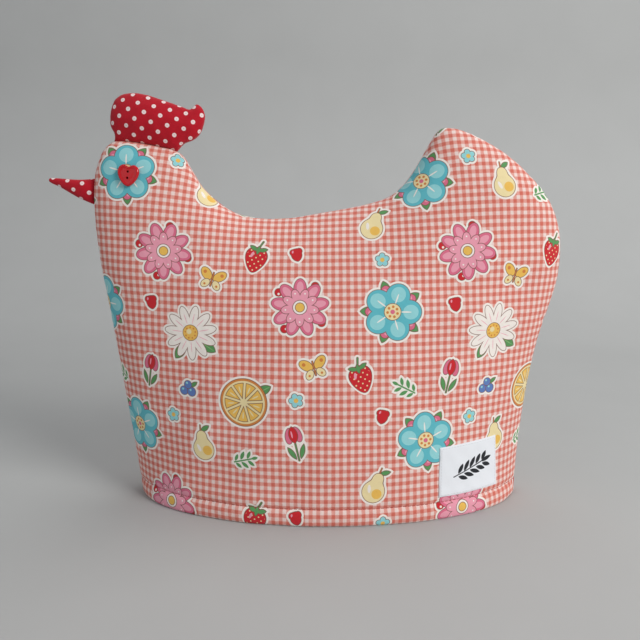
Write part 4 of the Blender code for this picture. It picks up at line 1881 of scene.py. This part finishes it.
@dataclass
class SewnLabel:
    """The woven label on the front panel, with its edges turned under."""

    panel: PaddedPanel
    corners: tuple[tuple[float, float], ...] = (  # x, z, round from the top left
        (74.8, 50.7), (117.1, 53.0), (119.3, 16.4), (74.5, 16.3),
    )
    wide: float = 45.5
    tall: float = 36.0
    thick: float = 0.75
    lift: float = 0.25
    rest: float = 0.02        # of its under face above the panel
    turned_edge: float = 0.35  # how far in the edge rounds over
    rim: float = 0.35         # share of the thickness at the edge
    columns: int = 60
    rows: int = 48
    inset: float = 1.3        # of the stitching from the edge
    dent: float = 0.10        # that it makes
    dent_reach: float = 0.5
    wave: float = 0.10        # height of the label's waves
    fine_wave: float = 0.06   # height of the finer ones
    wave_turns: tuple[tuple[float, float], ...] = (  # radians over the label
        (9.0, 2.0),           # over its width, and where that starts
        (7.0, 1.0),           # over its height, and where that starts
        (23.0, 11.0),         # of the finer ones, over both
    )
    pitch: float = 2.2
    stitch_start: float = 0.12  # share of the pitch before a stitch
    stitch_share: float = 0.76  # share of the pitch that it takes
    stitch: Stitch = Stitch(1.7, 0.14)

    def at(self, u: float, v: float) -> Place:
        """Places on the label at a share of its width and height.

        Args:
            u: Share of the width.
            v: Share of the height.

        Returns:
            The place on its under face, the one on its upper face, and the direction away from the cloth.
        """
        top_left, top_right, low_right, low_left = (np.array(corner) for corner in self.corners)
        x, z = (1 - v) * ((1 - u) * low_left + u * low_right) + v * ((1 - u) * top_left + u * top_right)
        point, normal = self.panel.place_at(x, z)
        edge = min(u * self.wide, (1 - u) * self.wide, v * self.tall, (1 - v) * self.tall)
        full = 1 - math.exp(-edge / self.turned_edge)
        (along, begin), (up, begin_up), (fine_along, fine_up) = self.wave_turns
        wave = self.wave * math.sin(along * u + begin) * math.sin(up * v + begin_up)
        wave += self.fine_wave * math.sin(fine_along * u + fine_up * v)
        top = self.lift + self.thick * (self.rim + (1 - self.rim) * full) + wave * full
        top -= self.dent * math.exp(-(((edge - self.inset) / self.dent_reach) ** 2))
        return point + normal * self.rest, point + normal * top, normal

    def build(self, tape: bpy.types.Material, thread: bpy.types.Material) -> list[bpy.types.Object]:
        """Make the label and its stitching.

        Args:
            tape: The label's cloth.
            thread: The thread.

        Returns:
            Both pieces.
        """
        shares = [(u, v) for v in np.linspace(0, 1, self.rows + 1)
                  for u in np.linspace(0, 1, self.columns + 1)]
        under, over, _ = zip(*(self.at(u, v) for u, v in shares))
        count = len(shares)
        grid = np.arange(count).reshape(self.rows + 1, self.columns + 1)
        cells = np.stack((grid[:-1, :-1], grid[:-1, 1:], grid[1:, 1:], grid[1:, :-1]), axis=-1).reshape(-1, 4)
        rim = np.array([*grid[0], *grid[1:, -1], *grid[-1, -2::-1], *grid[-2:0:-1, 0]])
        after = np.roll(rim, -1)
        wall = np.column_stack((rim, after, after + count, rim + count))
        faces = [*cells[:, ::-1].tolist(), *(cells + count).tolist(), *wall.tolist()]
        item = make_object("label_cloth", np.array(under + over), faces, sharp=60.0)
        places = (np.array(shares * 2) - 0.5) * (self.wide, self.tall)
        write_map(item, "grain", places[corner_owners(item)])
        dress(item, "label_tape", [tape], "label")
        stitches = self.sew(np.array(over).reshape(self.rows + 1, self.columns + 1, 3), thread)
        return [item, stitches]

    def sew(self, top: np.ndarray, thread: bpy.types.Material) -> bpy.types.Object:
        """Small stitches along the label's four edges.

        Args:
            top: The label's upper face as a grid of points.
            thread: The thread.

        Returns:
            The stitches as one piece.
        """
        left, low = self.inset / self.wide, self.inset / self.tall
        corners = ((left, low), (1 - left, low), (1 - left, 1 - low), (left, 1 - low))
        places = []
        for (u0, v0), (u1, v1) in zip(corners, corners[1:] + corners[:1]):
            count = round(math.hypot((u1 - u0) * self.wide, (v1 - v0) * self.tall) / self.pitch)
            for number in range(count):
                share, step = (number + self.stitch_start) / count, self.stitch_share / count
                u, v = u0 + share * (u1 - u0), v0 + share * (v1 - v0)
                here = self.sample(top, u, v)
                there = self.sample(top, u + step * (u1 - u0), v + step * (v1 - v0))
                places.append((here, there - here, self.at(u, v)[2]))
        return self.stitch.sew("label_stitches", "label_tape", thread, places)

    def sample(self, top: np.ndarray, u: float, v: float) -> Vector:
        """Point of the label's upper face at a share of its width and height.

        Args:
            top: The upper face as a grid of points.
            u: Share of the width.
            v: Share of the height.

        Returns:
            The point.
        """
        i, j = int(v * self.rows), int(u * self.columns)
        down, right = v * self.rows - i, u * self.columns - j
        near, far = ((1 - right) * row[j] + right * row[j + 1] for row in (top[i], top[i + 1]))
        return Vector((1 - down) * near + down * far)


@dataclass
class HeartButton:
    """Heart-shaped eye button, domed, with a rounded rim and two thread holes."""

    panel: PaddedPanel
    name: str
    node: str
    eye: tuple[float, float] = (-135.6, 231.9)
    width: float = 14.8
    height: float = 14.4
    waist: float = 0.97       # width at half its height, over the circle's
    shoulders: float = 0.31   # how much wider it grows above that, and how much narrower below
    notch: float = 2.1        # depth of the dip between the lobes
    notch_width: float = 2.6
    lift: float = 0.3
    slope_reach: float = 5.0  # millimetres round its middle over which the slope of the cloth is taken
    lean: float = 5.0         # degrees that it leans back over the head
    foot: float = 0.93        # size of its under side over the outline's
    steps: tuple[tuple[float, float], ...] = (  # rise, size of the next outline over this one's
        (0.35, 1.055), (0.45, 1.018), (0.7, 1.0), (0.55, 0.985), (0.42, 0.962), (0.26, 0.94),
        (0.08, 0.93), (-0.12, 0.935), (-0.16, 0.92), (-0.06, 0.88), (0.04, 0.80), (0.05, 0.62),
    )
    hole_radius: float = 0.85
    hole_corners: int = 24
    drill_length: float = 12.0
    holes: tuple[float, float] = (2.5, -1.7)  # their heights on the button's face
    corners: int = 72
    strand: Stitch = Stitch(1.5, 0.3, 1.0)
    strand_depth: float = 0.1

    def outline(self) -> list[tuple[float, float]]:
        """Plump heart of the button's size about the origin.

        Returns:
            x and z of each corner.
        """
        turn = np.linspace(0.0, 2 * math.pi, self.corners, endpoint=False)
        x = 0.5 * self.width * np.sin(turn) * (self.waist + self.shoulders * np.cos(turn))
        notch = self.notch * hump(x, 0.0, self.notch_width) * (np.cos(turn) > 0)
        z = 0.5 * self.height * np.cos(turn) - notch
        x *= self.width / np.ptp(x)
        z = (z - 0.5 * (z.max() + z.min())) * self.height / np.ptp(z)
        return list(zip(x, z))

    def build(self, plastic: bpy.types.Material, thread: bpy.types.Material) -> list[bpy.types.Object]:
        """Make the button and the thread that holds it.

        Args:
            plastic: The button's material.
            thread: The thread.

        Returns:
            Both pieces.
        """
        x, z = self.eye
        near = self.slope_reach
        around = [self.panel.place_at(x + dx, z + dz)
                  for dx, dz in ((0, 0), (near, 0), (-near, 0), (0, near), (0, -near))]
        out = sum((normal for _, normal in around), Vector()).normalized()
        up = (Vector((0.0, 0.0, 1.0)) - out * out.z).normalized()
        up = Matrix.Rotation(math.radians(self.lean * self.panel.side), 3, out) @ up
        across, middle = up.cross(out), around[0][0] + out * self.lift

        activate(None)
        bpy.ops.mesh.primitive_circle_add(vertices=self.corners, radius=self.width * MM, fill_type="NGON")
        item = bpy.context.object
        item.name = item.data.name = self.name
        for vertex, place in zip(item.data.vertices, self.outline()):
            vertex.co = Vector((*place, 0.0)) * MM
        build_up(item, (self.foot, self.foot), self.steps, poked=True)
        self.drill(item)
        bpy.ops.object.shade_smooth_by_angle(angle=math.radians(40.0))
        item.data.transform(seat_at(middle, (across, up, out)))
        dress(item, "button_plastic", [plastic], self.node)

        places = [(middle + up * height + across * aside + out * self.strand_depth, out, across)
                  for height in self.holes for aside in (-self.strand.radius, self.strand.radius)]
        return [item, self.strand.sew(self.name + "_thread", "button_plastic", thread, places)]

    def drill(self, item: bpy.types.Object) -> None:
        """Cut the thread holes.

        Args:
            item: The button.
        """
        for number, height in enumerate(self.holes):
            bpy.ops.mesh.primitive_cylinder_add(
                vertices=self.hole_corners, radius=self.hole_radius * MM, depth=self.drill_length * MM,
                location=(0.0, height * MM, 0.0))
            cutter = bpy.context.object
            cut = item.modifiers.new(f"hole_{number}", "BOOLEAN")
            cut.operation = "DIFFERENCE"
            cut.object = cutter
            activate(item)
            bpy.ops.object.modifier_apply(modifier=cut.name)
            bpy.data.objects.remove(cutter, do_unlink=True)


# Studio


@dataclass(frozen=True)
class Studio:
    """Plain pale floor that sweeps up behind, soft light and the camera."""

    eye: tuple[float, float, float] = (0.0093, -0.457, 0.215)
    pitch: float = 10.5       # degrees that the camera looks down
    lens: float = 36.0
    sensor: float = 36.0
    near: float = 0.01        # metres from the camera at which things begin to show
    aim: tuple[float, float, float] = (0.0, 0.0, 0.12)
    lamps: tuple[tuple, ...] = (  # name, place, size, power, colour
        ("window", (1.6, -1.2, 1.2), 1.1, 34.0, (1.0, 0.985, 0.965)),
        ("fill", (-1.5, -1.3, 0.9), 1.8, 3.5, (0.94, 0.97, 1.0)),
        ("top", (0.3, 0.5, 1.9), 1.2, 9.0, (1.0, 1.0, 1.0)),
    )
    room_colour: tuple[float, float, float, float] = (0.93, 0.96, 1.0, 1.0)
    room_light: float = 0.35
    floor_colour: Colour = paint(185, 186, 185)
    dull: float = 0.93        # darkest share of the floor's colour
    floor_roughness: float = 0.85
    floor_patch: float = 90.0  # millimetres across its soft patches
    floor_size: float = 8.0
    wall_height: float = 4.0
    sweep_end: float = 0.92   # y of the wall
    sweep_radius: float = 0.5
    sweep_segments: int = 15

    def build(self) -> None:
        """Make the stage, the lamps and the camera."""
        self.lay_floor()
        self.light()
        camera = bpy.data.cameras.new("camera")
        camera.lens, camera.sensor_width, camera.clip_start = self.lens, self.sensor, self.near
        stand = add_object("camera", camera)
        stand.location = self.eye
        stand.rotation_euler = (math.radians(90.0 - self.pitch), 0.0, 0.0)
        bpy.context.scene.camera = stand

    def lay_floor(self) -> None:
        """Make the floor and the sweep behind it as one sheet."""
        back = self.sweep_end
        activate(None)
        bpy.ops.mesh.primitive_plane_add(size=self.floor_size)
        floor = bpy.context.object
        floor.name = floor.data.name = "floor"
        floor.data.transform(Matrix.Translation((0.0, back - 0.5 * self.floor_size, 0.0)))
        bpy.ops.object.mode_set(mode="EDIT")
        self.pick_edges(floor, lambda place: place.y > back - MM)
        bpy.ops.mesh.extrude_region_move(TRANSFORM_OT_translate={"value": (0.0, 0.0, self.wall_height)})
        self.pick_edges(floor, lambda place: place.y > back - MM and place.z < MM)
        bpy.ops.mesh.bevel(offset=self.sweep_radius, segments=self.sweep_segments, affect="EDGES")
        bpy.ops.object.mode_set(mode="OBJECT")
        bpy.ops.object.shade_smooth()
        board = Board("floor", self.floor_roughness)
        dull = tuple(self.dull * part for part in self.floor_colour)
        patches = board.noise(board.place(), self.floor_patch, 3.0)
        board.feed("Base Color", board.mix(patches, dull, self.floor_colour))
        floor.data.materials.append(board.material)

    def pick_edges(self, item: bpy.types.Object, wanted: Callable[[Vector], bool]) -> None:
        """Select the edges in edit mode whose two ends both lie where they are wanted.

        Args:
            item: The object that is edited.
            wanted: Says of a place whether it is wanted.
        """
        work = bmesh.from_edit_mesh(item.data)
        work.select_mode = {"EDGE"}
        for edge in work.edges:
            edge.select_set(all(wanted(corner.co) for corner in edge.verts))
        work.select_flush_mode()
        bmesh.update_edit_mesh(item.data)

    def light(self) -> None:
        """Make the lamps and the even light of the room."""
        for name, place, size, power, colour in self.lamps:
            lamp = bpy.data.lights.new(name, "AREA")
            lamp.shape, lamp.size, lamp.energy, lamp.color = "DISK", size, power, colour
            item = add_object(name, lamp)
            item.location = place
            item.rotation_euler = (Vector(self.aim) - Vector(place)).to_track_quat("-Z", "Y").to_euler()
        world = bpy.data.worlds.new("room")
        bpy.context.scene.world = world
        world.use_nodes = True
        colour, strength = world.node_tree.nodes["Background"].inputs[:2]
        colour.default_value, strength.default_value = self.room_colour, self.room_light
        bpy.context.scene.view_settings.view_transform = "Standard"


def main() -> None:
    """Build the cosy and its studio."""
    logging.basicConfig(level=logging.INFO, format="%(name)s: %(message)s")
    printed = [Gingham("gingham_" + (kind.name.lower() if kind else "plain"), motif=kind).material()
               for kind in (None, *Print)]
    lining = PlainCotton().material()
    dotted = DottedCotton().material()
    tape = LabelTape().material()
    plastic = ButtonPlastic().material()
    # The hem thread's red is darkened partly for its own colour and partly as painted shade of the crease it
    # sinks into
    hem_thread_and_crease_shade = SewingThread("hem_thread_and_crease_shade", paint(176, 52, 46)).material()
    label_thread = SewingThread("label_thread", paint(226, 228, 234)).material()
    # The eye thread's dark red is thread colour and also painted shade for the inside of the button's holes
    eye_thread_and_hole_shade = SewingThread("eye_thread_and_hole_shade", paint(120, 8, 18)).material()

    form = PanelForm()
    front = PaddedPanel("front_panel_cloth", "front_panel", -1, form, seed=11, print_offset=(-43.5, -3.8))
    back = PaddedPanel("back_panel_cloth", "back_panel", 1, form, seed=31, print_offset=(-50.0, -103.4))
    for panel in (front, back):
        panel.build([*printed, lining])
    StuffedPiece("comb_cloth", "comb", COMB, loft=0.42, seed=3, fill=0.85).build(dotted)
    StuffedPiece("beak_cloth", "beak", BEAK, loft=0.80, seed=7, fill=0.9,
                 cut_from=(46.4, 46.7)).build(dotted)
    HemStitches(front, "hem_stitches_front").build(hem_thread_and_crease_shade)
    HemStitches(back, "hem_stitches_back").build(hem_thread_and_crease_shade)
    SewnLabel(front).build(tape, label_thread)
    HeartButton(front, "heart_button_front", "eye_button_front").build(plastic, eye_thread_and_hole_shade)
    HeartButton(back, "heart_button_back", "eye_button_back").build(plastic, eye_thread_and_hole_shade)
    Studio().build()


if __name__ == "__main__":
    main()
